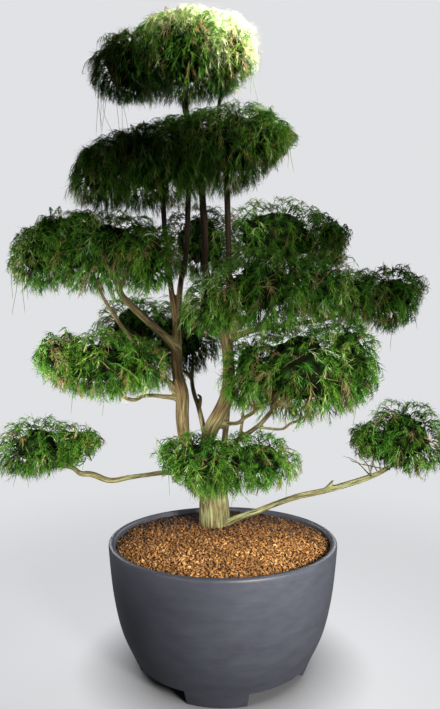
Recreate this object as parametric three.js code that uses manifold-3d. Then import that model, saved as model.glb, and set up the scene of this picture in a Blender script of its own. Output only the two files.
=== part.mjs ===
// Filifera nana sawara cypress in a round planter, trained into separate pads of hanging, thread-like shoots.
// Millimetres, +Z up. The origin is on the floor under the middle of the pot, and the front is -Y.

import * as THREE from 'three';
import { ConvexHull } from 'three/addons/math/ConvexHull.js';
import { mergeVertices } from 'three/addons/utils/BufferGeometryUtils.js';
import Module from 'manifold-3d';

const wasm = await Module();
wasm.setup();

// Play left between solids that touch on the real plant
const CLEARANCE = 0.5;

// Planter: a tapered round tub on four feet that carry on the taper of its wall
const POT_FACES = 36;
const POT_OUTLINE = [[451, 0], [483, 76], [549, 223], [589, 389], [610, 551], [619, 660]];
const POT_RIM = [[613, 674], [590, 674]];
const POT_INSIDE = [[584, 660], [575, 551], [547, 370], [500, 215], [440, 121]];
const POT_FLOOR_UNDERSIDE = 76;
const FOOT_COUNT = 4;
const FOOT_WIDTH_DEG = 38;
const FOOT_TURN_DEG = -4;
const FOOT_INNER_RADIUS = 340;
const FOOT_CUT_INNER = 200;
const FOOT_CUT_OUTER = 720;
const FOOT_CUT_BELOW = 20;
const DRAIN_RADIUS = 22;
const DRAIN_FACES = 16;

// Fill: soil up to the mulch, and a domed layer of bark granules
const SOIL_TOP = 600;
const MULCH_EDGE_TOP = 648;
const MULCH_DOME = 52;
const MULCH_RINGS = 8;
const MULCH_GRAIN = 7;
const MULCH_SHIFT = 11;
const MULCH_CALM_RINGS = 3;
const MULCH_SEED = 71;

// Wood: each route runs from the thick end to the thin one as [x, y, z, radius]
const STEM_SIDES = 6;
const LIMB_SIDES = 5;
const TWIG_SIDES = 4;
const MOST_ALONG_X = 0.8;
const STEMS = {
  trunk: [[-45, 160, 450, 88], [-48, 160, 640, 92], [-50, 160, 720, 87], [-52, 160, 850, 83],
    [-55, 160, 935, 80], [-55, 155, 1010, 66]],
  left: [[-60, 155, 950, 52], [-130, 150, 1055, 46], [-195, 135, 1145, 38], [-220, 130, 1210, 35],
    [-230, 120, 1300, 37], [-235, 110, 1475, 37], [-255, 105, 1555, 32], [-265, 100, 1685, 31],
    [-265, 90, 1770, 29], [-260, 90, 1860, 23]],
  leftOuter: [[-265, 90, 1815, 19], [-280, 95, 1945, 17], [-310, 110, 2170, 17], [-335, 125, 2435, 15],
    [-340, 125, 2535, 15], [-355, 110, 2675, 13], [-380, 90, 2770, 9]],
  leftInner: [[-260, 90, 1830, 20], [-250, 105, 1950, 18], [-245, 125, 2060, 17], [-210, 150, 2280, 16],
    [-200, 155, 2545, 16], [-190, 140, 2685, 13], [-155, 120, 2805, 10]],
  right: [[-70, 155, 960, 52], [-95, 150, 1080, 44], [-90, 145, 1175, 39], [-60, 145, 1260, 43],
    [-15, 140, 1340, 44], [20, 140, 1420, 43], [35, 135, 1505, 37], [35, 135, 1600, 33], [30, 140, 1705, 33],
    [15, 140, 1800, 32], [0, 150, 1890, 29]],
  rightStrut: [[-40, 150, 985, 29], [-5, 150, 1085, 23], [10, 155, 1180, 19], [20, 155, 1280, 19],
    [30, 150, 1385, 17]],
  main: [[10, 145, 1845, 25], [-30, 155, 1965, 23], [-70, 165, 2055, 21], [-95, 170, 2160, 20],
    [-105, 170, 2390, 22], [-120, 165, 2635, 22], [-130, 150, 2775, 20], [-160, 135, 2910, 19],
    [-215, 115, 3100, 19], [-210, 105, 3195, 16], [-185, 100, 3310, 11], [-170, 100, 3420, 7]],
  rightLeader: [[5, 150, 1870, 23], [30, 175, 1995, 20], [35, 215, 2295, 19], [30, 220, 2470, 20],
    [20, 200, 2730, 19], [0, 180, 2880, 15], [-20, 145, 3125, 12], [0, 130, 3220, 9], [40, 120, 3320, 6]],
};
const LIMBS = {
  upperLeft: [[-265, 95, 1720, 26], [-315, 60, 1770, 24], [-390, 0, 1840, 22], [-495, -100, 1945, 20],
    [-535, -135, 1990, 18], [-555, -160, 2050, 16], [-620, -185, 2125, 14], [-715, -200, 2185, 10],
    [-830, -205, 2215, 6]],
  longLeft: [[-270, 110, 1470, 18], [-305, 60, 1525, 16], [-395, -60, 1615, 14], [-445, -115, 1690, 12],
    [-485, -150, 1760, 12], [-570, -190, 1885, 11], [-630, -205, 1995, 9], [-665, -205, 2080, 7],
    [-720, -200, 2135, 5]],
  lowerLeft: [[-265, 110, 1430, 15], [-325, 60, 1440, 13], [-435, -60, 1450, 11], [-470, -110, 1435, 11],
    [-515, -150, 1450, 11], [-555, -185, 1500, 10], [-620, -210, 1560, 8], [-735, -225, 1605, 5]],
  middle: [[-90, 150, 1185, 20], [-105, 170, 1225, 16], [-125, 205, 1300, 15], [-145, 240, 1370, 15],
    [-170, 270, 1440, 14], [-185, 300, 1510, 14], [-185, 340, 1580, 13], [-185, 390, 1655, 11],
    [-205, 430, 1735, 8]],
  diagonal: [[-35, 150, 1000, 29], [30, 140, 1110, 20], [100, 100, 1200, 15], [165, 55, 1250, 15],
    [205, 10, 1290, 14], [240, -50, 1340, 14], [260, -105, 1375, 12], [325, -220, 1450, 10],
    [410, -330, 1510, 6]],
  rightShoulder: [[-5, 140, 1275, 17], [40, 90, 1285, 13], [85, 40, 1295, 12], [120, -20, 1330, 12],
    [160, -90, 1365, 12], [205, -170, 1415, 10], [270, -260, 1475, 8], [340, -340, 1525, 5]],
  farLeft: [[-75, 150, 915, 27], [-190, 140, 975, 19], [-330, 120, 1000, 15], [-425, 110, 990, 14],
    [-525, 90, 980, 15], [-635, 75, 965, 16], [-750, 60, 1005, 17], [-800, 50, 1010, 15],
    [-835, 45, 1040, 13], [-900, 40, 1055, 12], [-985, 30, 1070, 10], [-1060, 20, 1110, 6]],
  farRight: [[-20, 150, 655, 24], [30, 130, 710, 21], [85, 110, 745, 19], [190, 90, 785, 17],
    [280, 75, 825, 16], [420, 50, 880, 18], [555, 30, 915, 17], [695, 10, 960, 17], [775, -5, 990, 16],
    [885, -15, 1040, 13], [960, -20, 1095, 11], [1030, -15, 1160, 6]],
  midRight: [[25, 140, 1795, 24], [75, 90, 1825, 19], [125, -20, 1875, 15], [175, -150, 1925, 12],
    [215, -290, 1965, 9], [275, -380, 1990, 5]],
  outerRight: [[30, 140, 1760, 22], [155, 130, 1810, 17], [325, 110, 1840, 15], [480, 90, 1860, 14],
    [615, 75, 1885, 12], [725, 70, 1920, 10], [825, 65, 1960, 8], [920, 60, 1990, 5]],
  rearRight: [[35, 210, 2220, 16], [80, 290, 2295, 14], [180, 380, 2355, 12], [340, 450, 2400, 9],
    [525, 485, 2420, 6]],
  rearLeft: [[-100, 170, 2275, 15], [-125, 270, 2315, 13], [-155, 370, 2345, 10], [-205, 450, 2375, 6]],
};
const TWIGS = {
  upperLeftFork: [[-545, -150, 2025, 14], [-485, -170, 2120, 11], [-405, -160, 2185, 7]],
  lowerLeftFork: [[-395, -60, 1615, 10], [-425, -120, 1615, 9], [-470, -190, 1615, 6]],
  middleFork: [[-185, 305, 1530, 12], [-230, 335, 1570, 11], [-340, 395, 1630, 9], [-370, 420, 1680, 8],
    [-470, 450, 1805, 5]],
  hookStub: [[-140, 235, 1355, 10], [-130, 240, 1400, 9], [-130, 240, 1425, 9], [-150, 240, 1440, 7]],
  rightTwin: [[95, 100, 1190, 11], [105, 90, 1250, 10], [110, 70, 1305, 10], [115, 30, 1375, 9],
    [105, -60, 1445, 8], [120, -200, 1505, 5]],
  diagonalFork: [[200, 10, 1275, 9], [245, 0, 1270, 9], [335, -40, 1275, 9], [360, -65, 1300, 9],
    [405, -105, 1325, 9], [460, -190, 1385, 8], [520, -280, 1460, 6], [585, -350, 1530, 4]],
  frontLeft: [[-65, 110, 935, 23], [-105, 10, 995, 16], [-150, -110, 1060, 11], [-210, -210, 1120, 6]],
  frontRight: [[-45, 110, 950, 23], [25, 10, 1005, 16], [110, -110, 1075, 11], [220, -200, 1130, 6]],
  farLeftFork: [[-845, 45, 1045, 10], [-875, 30, 1095, 8], [-910, 0, 1140, 5]],
  farRightStub: [[565, 25, 915, 11], [590, 20, 950, 9], [615, 20, 980, 6]],
  midRightFork: [[145, -75, 1900, 11], [80, -200, 1930, 8], [5, -310, 1930, 4]],
};

// Foliage pads: the lobes of each as [x, y, z, half width, half depth, half height]
const PADS = {
  foliage_crown: [[-200, 100, 3385, 330, 400, 265], [-535, 80, 3310, 240, 330, 225],
    [45, 120, 3375, 170, 290, 205], [-265, 100, 3505, 205, 240, 160]],
  foliage_second_tier: [[-430, 70, 2760, 405, 450, 235], [65, 110, 2870, 365, 430, 245],
    [-690, 50, 2690, 190, 290, 170], [325, 100, 2935, 150, 250, 150]],
  foliage_upper_left: [[-615, -200, 2220, 360, 330, 210], [-940, -190, 2210, 185, 260, 185],
    [-820, -180, 2335, 200, 230, 115], [-380, -160, 2195, 145, 230, 175]],
  foliage_lower_left: [[-640, -220, 1610, 300, 290, 175], [-860, -220, 1660, 135, 210, 135],
    [-420, -200, 1610, 125, 200, 125]],
  foliage_rear_left: [[-560, 460, 1830, 260, 270, 220], [-250, 470, 1795, 255, 280, 250]],
  foliage_rear_upper: [[340, 475, 2395, 470, 270, 215], [-140, 465, 2365, 290, 260, 210],
    [705, 465, 2405, 185, 210, 175]],
  foliage_upper_right: [[185, -420, 1995, 285, 300, 200], [460, -390, 2015, 165, 240, 165],
    [-45, -380, 1930, 130, 200, 140]],
  foliage_far_upper_right: [[950, 60, 2005, 235, 260, 185], [730, 70, 2015, 160, 220, 160]],
  foliage_mid_right: [[365, -430, 1585, 325, 320, 200], [600, -400, 1620, 180, 260, 185],
    [130, -370, 1570, 135, 200, 145]],
  foliage_front_low: [[-150, -230, 1115, 265, 220, 145], [170, -220, 1125, 265, 220, 135]],
  foliage_far_left: [[-1030, 30, 1145, 230, 250, 150], [-785, 40, 1155, 150, 190, 125]],
  foliage_far_right: [[1000, 0, 1195, 245, 260, 195], [770, 10, 1150, 145, 200, 120]],
};

// Each lobe has an uneven heart, a share of the lobe's size, whose corners grow in number with its surface
const HEART_SHARE = 0.8;
const HEART_BELOW = 0.95;
const HEART_UNEVEN = 0.12;
const CORNERS_SHARE = 0.0037;
const CORNERS_POWER = 0.7;

// A spray: its length, its flattened section at the root, at the bend and at the tip, and where the bend is
const SPRAY_LENGTH = [175, 260];
const SPRAY_HALF_WIDTHS = [27, 24, 0];
const SPRAY_RIDGES = [12, 10, 0];
const SPRAY_STATIONS = [0.48, 1];
const SPRAY_SAMPLES = [0.25, 0.5, 0.75, 1];
const ROOT_ROOM = 0.8;

// Sprays of a small lobe are shorter, against this half width, and those of a wide one longer
const LOBE_WIDTH = 260;
const LOBE_REACH = [0.75, 1.05];

// How sprays on the sides, the top and the underside rise, lean out, slow down and hang
const SIDE_LIFT = 0.28;
const TOP_LIFT = 0.3;
const UNDER_LIFT = 1.2;
const TOP_LEAN = 0.75;
const SIDE_SLOWING = 0.62;
const TOP_SLOWING = 0.25;
const SIDE_DROOP = 0.8;
const TOP_DROOP = 0.45;
const UNDER_SHORTER = 0.4;
const DROOP_POWER = 2.2;

// A spray that meets another is bent aside and shortened, a step at a time, and left out after the last try
const SWAY = 0.6;
const TRIES = 12;
const TRY_SHORTER = 0.055;
const TRY_TURN = 0.12;
const LEVEL_FACET = 0.25;

// What a spray stays clear of
const GAP_TO_PADS = 55;
const GAP_TO_HEARTS = 30;
const GAP_TO_WOOD = 32;
const GAP_TO_SISTERS = 8;

const FIRST_PAD_SEED = 11;
const GOLDEN_ANGLE = Math.PI * (3 - Math.sqrt(5));
const UP = new THREE.Vector3(0, 0, 1);

// Finishes
const FINISH = {
  pot: { color: 0x4d4f57, roughness: 0.62, metalness: 0 },
  soil: { color: 0x33271c, roughness: 0.95, metalness: 0 },
  mulch: { color: 0x9a6a34, roughness: 0.9, metalness: 0 },
  bark: { color: 0x6e5a40, roughness: 0.88, metalness: 0 },
  foliage: { color: 0x3e5a22, roughness: 0.8, metalness: 0 },
};

// A repeatable stream of numbers from 0 to 1
function seeded(seed) {
  let state = seed * 2654435761 >>> 0;
  return () => {
    state = state + 0x6d2b79f5 >>> 0;
    let t = Math.imul(state ^ state >>> 15, 1 | state);
    t = t + Math.imul(t ^ t >>> 7, 61 | t) ^ t;
    return ((t ^ t >>> 14) >>> 0) / 4294967296;
  };
}

// A geometry as a solid: only positions, shared corners merged, triangles without area dropped
function solidOf(geometry) {
  const plain = new THREE.BufferGeometry();
  plain.setAttribute('position', geometry.getAttribute('position'));
  plain.setIndex(geometry.getIndex());
  const merged = mergeVertices(plain, 1e-3);
  const index = merged.getIndex().array;
  const kept = [];
  for (let i = 0; i < index.length; i += 3) {
    const [a, b, c] = index.slice(i, i + 3);
    if (a !== b && b !== c && c !== a) kept.push(a, b, c);
  }
  return new wasm.Manifold(new wasm.Mesh({
    numProp: 3,
    vertProperties: new Float32Array(merged.getAttribute('position').array),
    triVerts: new Uint32Array(kept),
  }));
}

// The largest piece of a solid: scraps that a cut leaves are dropped
function largestPiece(solid) {
  return solid.decompose().sort((a, b) => b.volume() - a.volume())[0];
}

// A solid's triangles as a geometry
function geometryOf(solid) {
  const { vertProperties, triVerts } = solid.getMesh();
  const geometry = new THREE.BufferGeometry();
  geometry.setAttribute('position', new THREE.BufferAttribute(new Float32Array(vertProperties), 3));
  geometry.setIndex(new THREE.BufferAttribute(new Uint32Array(triVerts), 1));
  return geometry;
}

// A solid as a mesh with a name and a finish
function namedMesh(name, solid, finish) {
  const geometry = geometryOf(solid).toNonIndexed();
  geometry.computeVertexNormals();
  const mesh = new THREE.Mesh(geometry, new THREE.MeshStandardMaterial(finish));
  mesh.name = name;
  return mesh;
}

// A round solid about +Z from a profile of [radius, height] points that starts and ends on the axis
function turned(profile, faces) {
  const points = profile.map(([r, z]) => new THREE.Vector2(r, z));
  return solidOf(new THREE.LatheGeometry(points, faces).rotateX(Math.PI / 2));
}

// Planter

// The space between two feet, whose middle is at an angle
function footGap(middleDeg) {
  const half = THREE.MathUtils.degToRad((360 / FOOT_COUNT - FOOT_WIDTH_DEG) / 2);
  const middle = THREE.MathUtils.degToRad(middleDeg);
  const at = (angle, radius) => new THREE.Vector2(radius * Math.cos(angle), radius * Math.sin(angle));
  const outline = new THREE.Shape([at(middle - half, FOOT_CUT_INNER), at(middle - half, FOOT_CUT_OUTER),
    at(middle + half, FOOT_CUT_OUTER), at(middle + half, FOOT_CUT_INNER)]);
  const depth = POT_FLOOR_UNDERSIDE + FOOT_CUT_BELOW;
  const wedge = new THREE.ExtrudeGeometry(outline, { depth, bevelEnabled: false });
  return solidOf(wedge.translate(0, 0, -FOOT_CUT_BELOW));
}

function makePot() {
  const foot = [[0, POT_FLOOR_UNDERSIDE], [FOOT_INNER_RADIUS, POT_FLOOR_UNDERSIDE], [FOOT_INNER_RADIUS, 0]];
  const floorTop = POT_INSIDE.at(-1)[1];
  let pot = turned([...foot, ...POT_OUTLINE, ...POT_RIM, ...POT_INSIDE, [0, floorTop]], POT_FACES);
  for (let i = 0; i < FOOT_COUNT; i++) {
    const between = -90 + FOOT_TURN_DEG + (i + 0.5) * 360 / FOOT_COUNT;
    pot = pot.subtract(footGap(between));
  }
  const drain = new THREE.CylinderGeometry(DRAIN_RADIUS, DRAIN_RADIUS, floorTop, DRAIN_FACES);
  return pot.subtract(solidOf(drain.rotateX(Math.PI / 2).translate(0, 0, floorTop)));
}

// The radius of the pot's inner wall at a height, less the play
function fillRadius(z) {
  const above = POT_INSIDE.findIndex(([, height]) => height <= z);
  const [[r1, z1], [r0, z0]] = [POT_INSIDE[above - 1] ?? POT_INSIDE[0], POT_INSIDE[above]];
  const share = z1 === z0 ? 0 : (z - z0) / (z1 - z0);
  return r0 + (r1 - r0) * share - CLEARANCE;
}

function makeSoil() {
  const bottom = POT_INSIDE.at(-1)[1] + CLEARANCE;
  const walls = POT_INSIDE.filter(([, z]) => z > bottom && z < SOIL_TOP).map(([r, z]) => [r - CLEARANCE, z]);
  const profile = [[0, bottom], [fillRadius(bottom), bottom], ...walls.reverse(),
    [fillRadius(SOIL_TOP), SOIL_TOP], [0, SOIL_TOP]];
  return turned(profile, POT_FACES);
}

// Bark granules: a dome whose rings are jittered in place and height, over a flat underside
function makeMulch() {
  const draw = seeded(MULCH_SEED);
  const bottom = SOIL_TOP + CLEARANCE;
  const rim = fillRadius(MULCH_EDGE_TOP);
  const positions = [0, 0, MULCH_EDGE_TOP + MULCH_DOME];
  const index = [];
  const ringStart = (ring) => 1 + (ring - 1) * POT_FACES;
  const addRing = (radius, height, grain) => {
    for (let j = 0; j < POT_FACES; j++) {
      const turn = (j / POT_FACES) * 2 * Math.PI;
      const x = radius * Math.sin(turn) + grain * MULCH_SHIFT * (2 * draw() - 1);
      const y = radius * Math.cos(turn) + grain * MULCH_SHIFT * (2 * draw() - 1);
      positions.push(x, y, height + grain * MULCH_GRAIN * (2 * draw() - 1));
    }
  };
  for (let ring = 1; ring < MULCH_RINGS; ring++) {
    const share = ring / MULCH_RINGS;
    const grain = Math.min(1, ring / MULCH_CALM_RINGS);
    addRing(rim * share, MULCH_EDGE_TOP + MULCH_DOME * (1 - share * share), grain);
  }
  addRing(rim, MULCH_EDGE_TOP, 0);
  addRing(fillRadius(bottom), bottom, 0);
  const last = MULCH_RINGS + 1;
  positions.push(0, 0, bottom);
  const underside = positions.length / 3 - 1;
  for (let j = 0; j < POT_FACES; j++) {
    const k = (j + 1) % POT_FACES;
    index.push(0, ringStart(1) + k, ringStart(1) + j);
    for (let ring = 1; ring < last; ring++) {
      const [a, b] = [ringStart(ring), ringStart(ring + 1)];
      index.push(a + j, a + k, b + j, a + k, b + k, b + j);
    }
    index.push(underside, ringStart(last) + j, ringStart(last) + k);
  }
  const geometry = new THREE.BufferGeometry();
  geometry.setAttribute('position', new THREE.BufferAttribute(new Float32Array(positions), 3));
  geometry.setIndex(index);
  return solidOf(geometry);
}

// Wood

// A closed tube through stations, with a ring of corners round each and flat ends
function taperedTube(points, radii, sides) {
  const tangents = points.map((point, i) => {
    const before = points[Math.max(i - 1, 0)];
    const after = points[Math.min(i + 1, points.length - 1)];
    return after.clone().sub(before).normalize();
  });
  const steep = Math.abs(tangents[0].x) < MOST_ALONG_X;
  const normal = steep ? new THREE.Vector3(1, 0, 0) : new THREE.Vector3(0, 1, 0);
  const positions = [];
  points.forEach((point, i) => {
    const tangent = tangents[i];
    normal.addScaledVector(tangent, -normal.dot(tangent)).normalize();
    const binormal = tangent.clone().cross(normal);
    for (let j = 0; j < sides; j++) {
      const turn = (j / sides) * 2 * Math.PI;
      const place = point.clone().addScaledVector(normal, radii[i] * Math.cos(turn));
      positions.push(...place.addScaledVector(binormal, radii[i] * Math.sin(turn)).toArray());
    }
  });
  const index = [];
  for (let j = 1; j < sides - 1; j++) index.push(0, j + 1, j);
  for (let low = 0; low < (points.length - 1) * sides; low += sides) {
    const high = low + sides;
    for (let j = 0; j < sides; j++) {
      const k = (j + 1) % sides;
      index.push(low + j, low + k, high + j, low + k, high + k, high + j);
    }
  }
  const end = (points.length - 1) * sides;
  for (let j = 1; j < sides - 1; j++) index.push(end, end + j, end + j + 1);
  const geometry = new THREE.BufferGeometry();
  geometry.setAttribute('position', new THREE.BufferAttribute(new Float32Array(positions), 3));
  geometry.setIndex(index);
  return solidOf(geometry);
}

// One route of wood, thicker and longer by the play where it is used as a cutter
function woodTube(route, sides, play) {
  const points = route.map(([x, y, z]) => new THREE.Vector3(x, y, z));
  const radii = route.map(([, , , radius]) => radius + play);
  const stretch = (end, inner) => end.addScaledVector(end.clone().sub(inner).normalize(), play);
  stretch(points[0], points[1]);
  stretch(points.at(-1), points.at(-2));
  return taperedTube(points, radii, sides);
}

function makeWood(play) {
  const kinds = [[STEMS, STEM_SIDES], [LIMBS, LIMB_SIDES], [TWIGS, TWIG_SIDES]];
  const tubes = kinds.flatMap(([routes, sides]) =>
    Object.values(routes).map((route) => woodTube(route, sides, play)));
  return tubes.reduce((whole, tube) => whole.add(tube));
}

// The straight spans of all routes, each with its larger radius
const WOOD_SPANS = [STEMS, LIMBS, TWIGS].flatMap((routes) => Object.values(routes)).flatMap((route) =>
  route.slice(1).map((end, i) => ({
    line: new THREE.Line3(new THREE.Vector3(...route[i]), new THREE.Vector3(...end)),
    radius: Math.max(route[i][3], end[3]),
  })));

function clearOfWood(point) {
  const nearest = new THREE.Vector3();
  return WOOD_SPANS.every(({ line, radius }) =>
    line.closestPointToPoint(point, true, nearest).distanceTo(point) > radius + GAP_TO_WOOD);
}

// Foliage

// The lobes of a pad as vectors
function lobesOf(pad) {
  return pad.map(([x, y, z, rx, ry, rz]) => ({
    centre: new THREE.Vector3(x, y, z),
    half: new THREE.Vector3(rx, ry, rz),
    heart: new THREE.Vector3(rx, ry, rz).multiplyScalar(HEART_SHARE),
  }));
}

// How far out a point is from a lobe's middle: below 1 is inside its heart with a margin round it
function farFrom(lobe, point, margin) {
  return point.clone().sub(lobe.centre).divide(lobe.heart.clone().addScalar(margin)).length();
}

// Even directions on a sphere, and the facets between them as triples of their numbers
function evenDirections(count) {
  return Array.from({ length: count }, (_, i) => {
    const z = 1 - (2 * i + 1) / count;
    const across = Math.sqrt(1 - z * z);
    return new THREE.Vector3(across * Math.cos(GOLDEN_ANGLE * i), across * Math.sin(GOLDEN_ANGLE * i), z);
  });
}

function facetsBetween(directions) {
  const order = new Map(directions.map((direction, i) => [direction, i]));
  return new ConvexHull().setFromPoints(directions).faces.map(({ edge }) =>
    [edge, edge.next, edge.next.next].map((side) => order.get(side.head().point)));
}

// The corners of a lobe's heart: an uneven ball, flatter below, inside the reach of the sprays
function heartCorners(lobe, directions, draw) {
  return directions.map((direction) => {
    const corner = direction.clone().multiplyScalar(1 - HEART_UNEVEN * draw());
    if (corner.z < 0) corner.z *= HEART_BELOW;
    return corner.multiply(lobe.heart).add(lobe.centre);
  });
}

// A spray leaves its facet outwards, arches over and hangs; on top it lies over, and below it hangs down
function sprayRoute(root, normal, azimuth, length) {
  const top = Math.max(0, normal.z);
  const under = Math.max(0, -normal.z);
  const across = Math.hypot(normal.x, normal.y);
  const level = normal.z > 0 ? Math.max(across, TOP_LEAN) : across;
  const lift = SIDE_LIFT + (normal.z > 0 ? TOP_LIFT : UNDER_LIFT) * normal.z;
  const out = new THREE.Vector3(level * Math.cos(azimuth), level * Math.sin(azimuth), lift).normalize();
  const slowing = THREE.MathUtils.lerp(SIDE_SLOWING, TOP_SLOWING, top);
  const droop = THREE.MathUtils.lerp(SIDE_DROOP, TOP_DROOP, top) * (1 - UNDER_SHORTER * under);
  const stations = SPRAY_STATIONS.map((s) => root.clone()
    .addScaledVector(out, length * s * (1 - slowing * s))
    .addScaledVector(UP, -droop * length * s ** DROOP_POWER));
  return [root, ...stations];
}

// Points along a spray that stand for it where its place is tested
function samplesOf(route) {
  const samples = [];
  for (let i = 0; i + 1 < route.length; i++) {
    for (const share of SPRAY_SAMPLES) samples.push(route[i].clone().lerp(route[i + 1], share));
  }
  return samples;
}

// The corners of a spray's flattened three-sided section: one side, the ridge and the other side
function sectionAt(centre, across, tangent, halfWidth, ridge) {
  const side = across.clone().addScaledVector(tangent, -across.dot(tangent)).normalize();
  const up = tangent.clone().cross(side).normalize();
  return [side.clone().multiplyScalar(halfWidth), up.multiplyScalar(ridge), side.multiplyScalar(-halfWidth)]
    .map((arm) => arm.add(centre));
}

// How wide a circle fits in a facet
function roomIn(a, b, c) {
  const [ab, bc, ca] = [a.distanceTo(b), b.distanceTo(c), c.distanceTo(a)];
  const area = b.clone().sub(a).cross(c.clone().sub(a)).length() / 2;
  return 2 * area / (ab + bc + ca);
}

// The rings of corners of a spray, from the root on its facet to the tip
function sprayRings(route, azimuth, normal, room) {
  const sideways = new THREE.Vector3(-Math.sin(azimuth), Math.cos(azimuth), 0);
  const across = normal.clone().cross(sideways).z < 0 && normal.z > 0 ? sideways.negate() : sideways;
  const size = Math.min(1, ROOT_ROOM * room / SPRAY_HALF_WIDTHS[0]);
  const rings = [sectionAt(route[0], across, normal, size * SPRAY_HALF_WIDTHS[0], size * SPRAY_RIDGES[0])];
  for (let i = 1; i + 1 < route.length; i++) {
    const tangent = route[i + 1].clone().sub(route[i - 1]).normalize();
    rings.push(sectionAt(route[i], across, tangent, SPRAY_HALF_WIDTHS[i], SPRAY_RIDGES[i]));
  }
  return { rings, tip: route.at(-1) };
}

// The surface of a spray without its root
function sprayTriangles({ rings, tip }) {
  const triangles = [];
  for (let j = 0; j < 3; j++) {
    const k = (j + 1) % 3;
    for (let i = 0; i + 1 < rings.length; i++) {
      const [low, high] = [rings[i], rings[i + 1]];
      triangles.push(new THREE.Triangle(low[j], low[k], high[j]));
      triangles.push(new THREE.Triangle(low[k], high[k], high[j]));
    }
    triangles.push(new THREE.Triangle(rings.at(-1)[j], rings.at(-1)[k], tip));
  }
  return triangles;
}

// Which corner of a facet each corner of a root belongs to, as a shift, or null where the band between
// the facet's outline and the root would fold over
function rootShift(face, root, rootRing) {
  const ends = [face.a, face.b, face.c];
  const normal = face.getNormal(new THREE.Vector3());
  const arm = (point) => point.clone().sub(root).normalize();
  const along = (corner, end) => arm(corner).dot(arm(end));
  const fit = (shift) => rootRing.reduce((sum, corner, j) => sum + along(corner, ends[(j + shift) % 3]), 0);
  const shift = [0, 1, 2].sort((m, n) => fit(n) - fit(m))[0];
  const facesOut = (a, b, c) => b.clone().sub(a).cross(c.clone().sub(a)).dot(normal) > 0;
  const flat = [0, 1, 2].every((j) => {
    const k = (j + 1) % 3;
    const [from, to] = [ends[(j + shift) % 3], ends[(k + shift) % 3]];
    return facesOut(from, to, rootRing[j]) && facesOut(to, rootRing[k], rootRing[j]);
  });
  return flat ? shift : null;
}

// Whether an edge of one triangle runs through the other
function pierces(one, other) {
  const ray = new THREE.Ray();
  const hit = new THREE.Vector3();
  const corners = [one.a, one.b, one.c];
  return corners.some((start, i) => {
    const end = corners[(i + 1) % 3];
    const step = end.clone().sub(start);
    ray.set(start, step.clone().normalize());
    return ray.intersectTriangle(other.a, other.b, other.c, false, hit) !== null
      && hit.distanceTo(start) < step.length();
  });
}

// Whether any of our triangles crosses one of theirs; those that share a corner are left out
function meet(ours, theirs) {
  const shares = (t, u) => [t.a, t.b, t.c].some((p) => p === u.a || p === u.b || p === u.c);
  return ours.some((t) => theirs.some((u) => !shares(t, u) && (pierces(t, u) || pierces(u, t))));
}

// One lobe: its heart, and on each facet that another lobe doesn't cover a spray that crosses no other.
// sprays holds those of the whole pad, and grows
function leafyLobe(lobe, sisters, draw, isFree, sprays) {
  const { x, y, z } = lobe.half;
  const directions = evenDirections(Math.round(CORNERS_SHARE * (x * y + x * z + y * z) ** CORNERS_POWER));
  const corners = heartCorners(lobe, directions, draw);
  const facets = facetsBetween(directions);
  const faces = facets.map((facet) => new THREE.Triangle(...facet.map((i) => corners[i])));
  const [shortest, longest] = SPRAY_LENGTH;
  const reach = THREE.MathUtils.clamp(x / LOBE_WIDTH, ...LOBE_REACH);
  const nearSister = (point, margin) => sisters.some((sister) => farFrom(sister, point, margin) < 1);
  const sprayOn = (face) => {
    const root = face.getMidpoint(new THREE.Vector3());
    const normal = face.getNormal(new THREE.Vector3());
    if (nearSister(root, 0)) return null;
    const level = Math.hypot(normal.x, normal.y) < LEVEL_FACET;
    const facing = level ? 2 * Math.PI * draw() : Math.atan2(normal.y, normal.x);
    for (let attempt = 0; attempt < TRIES; attempt++) {
      const shorter = reach * (1 - TRY_SHORTER * attempt) * (1 - UNDER_SHORTER * Math.max(0, -normal.z));
      const azimuth = facing + SWAY * (draw() - 0.5) + TRY_TURN * (attempt % 2 ? attempt : -attempt);
      const route = sprayRoute(root, normal, azimuth, (shortest + (longest - shortest) * draw()) * shorter);
      const samples = samplesOf(route);
      if (!isFree(samples) || samples.some((point) => nearSister(point, GAP_TO_SISTERS))) continue;
      const spray = sprayRings(route, azimuth, normal, roomIn(face.a, face.b, face.c));
      const shift = rootShift(face, root, spray.rings[0]);
      if (shift === null) continue;
      const triangles = sprayTriangles(spray);
      if (meet(triangles, triangles)) continue;
      const near = sprays.filter((other) => other.root.distanceTo(root) < 2 * longest);
      if (near.some((other) => meet(triangles, other.triangles))) continue;
      if (meet(triangles, faces.filter((other) => other !== face))) continue;
      if (meet(triangles.filter((triangle) => !spray.rings[0].includes(triangle.a)), [face])) continue;
      return { ...spray, root, shift, samples, triangles };
    }
    return null;
  };
  const positions = corners.flatMap((corner) => corner.toArray());
  const index = [];
  const add = (points) => points.map((point) => positions.push(...point.toArray()) / 3 - 1);
  const join = (low, high) => {
    for (let j = 0; j < 3; j++) {
      const k = (j + 1) % 3;
      index.push(low[j], low[k], high[j], low[k], high[k], high[j]);
    }
  };
  facets.forEach((facet, f) => {
    const spray = sprayOn(faces[f]);
    if (!spray) {
      index.push(...facet);
      return;
    }
    sprays.push(spray);
    let ring = add(spray.rings[0]);
    join([0, 1, 2].map((j) => facet[(j + spray.shift) % 3]), ring);
    for (const next of spray.rings.slice(1).map(add)) {
      join(ring, next);
      ring = next;
    }
    const [tip] = add([spray.tip]);
    for (let j = 0; j < 3; j++) index.push(ring[j], ring[(j + 1) % 3], tip);
  });
  const geometry = new THREE.BufferGeometry();
  geometry.setAttribute('position', new THREE.BufferAttribute(new Float32Array(positions), 3));
  geometry.setIndex(index);
  return solidOf(geometry);
}

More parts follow.
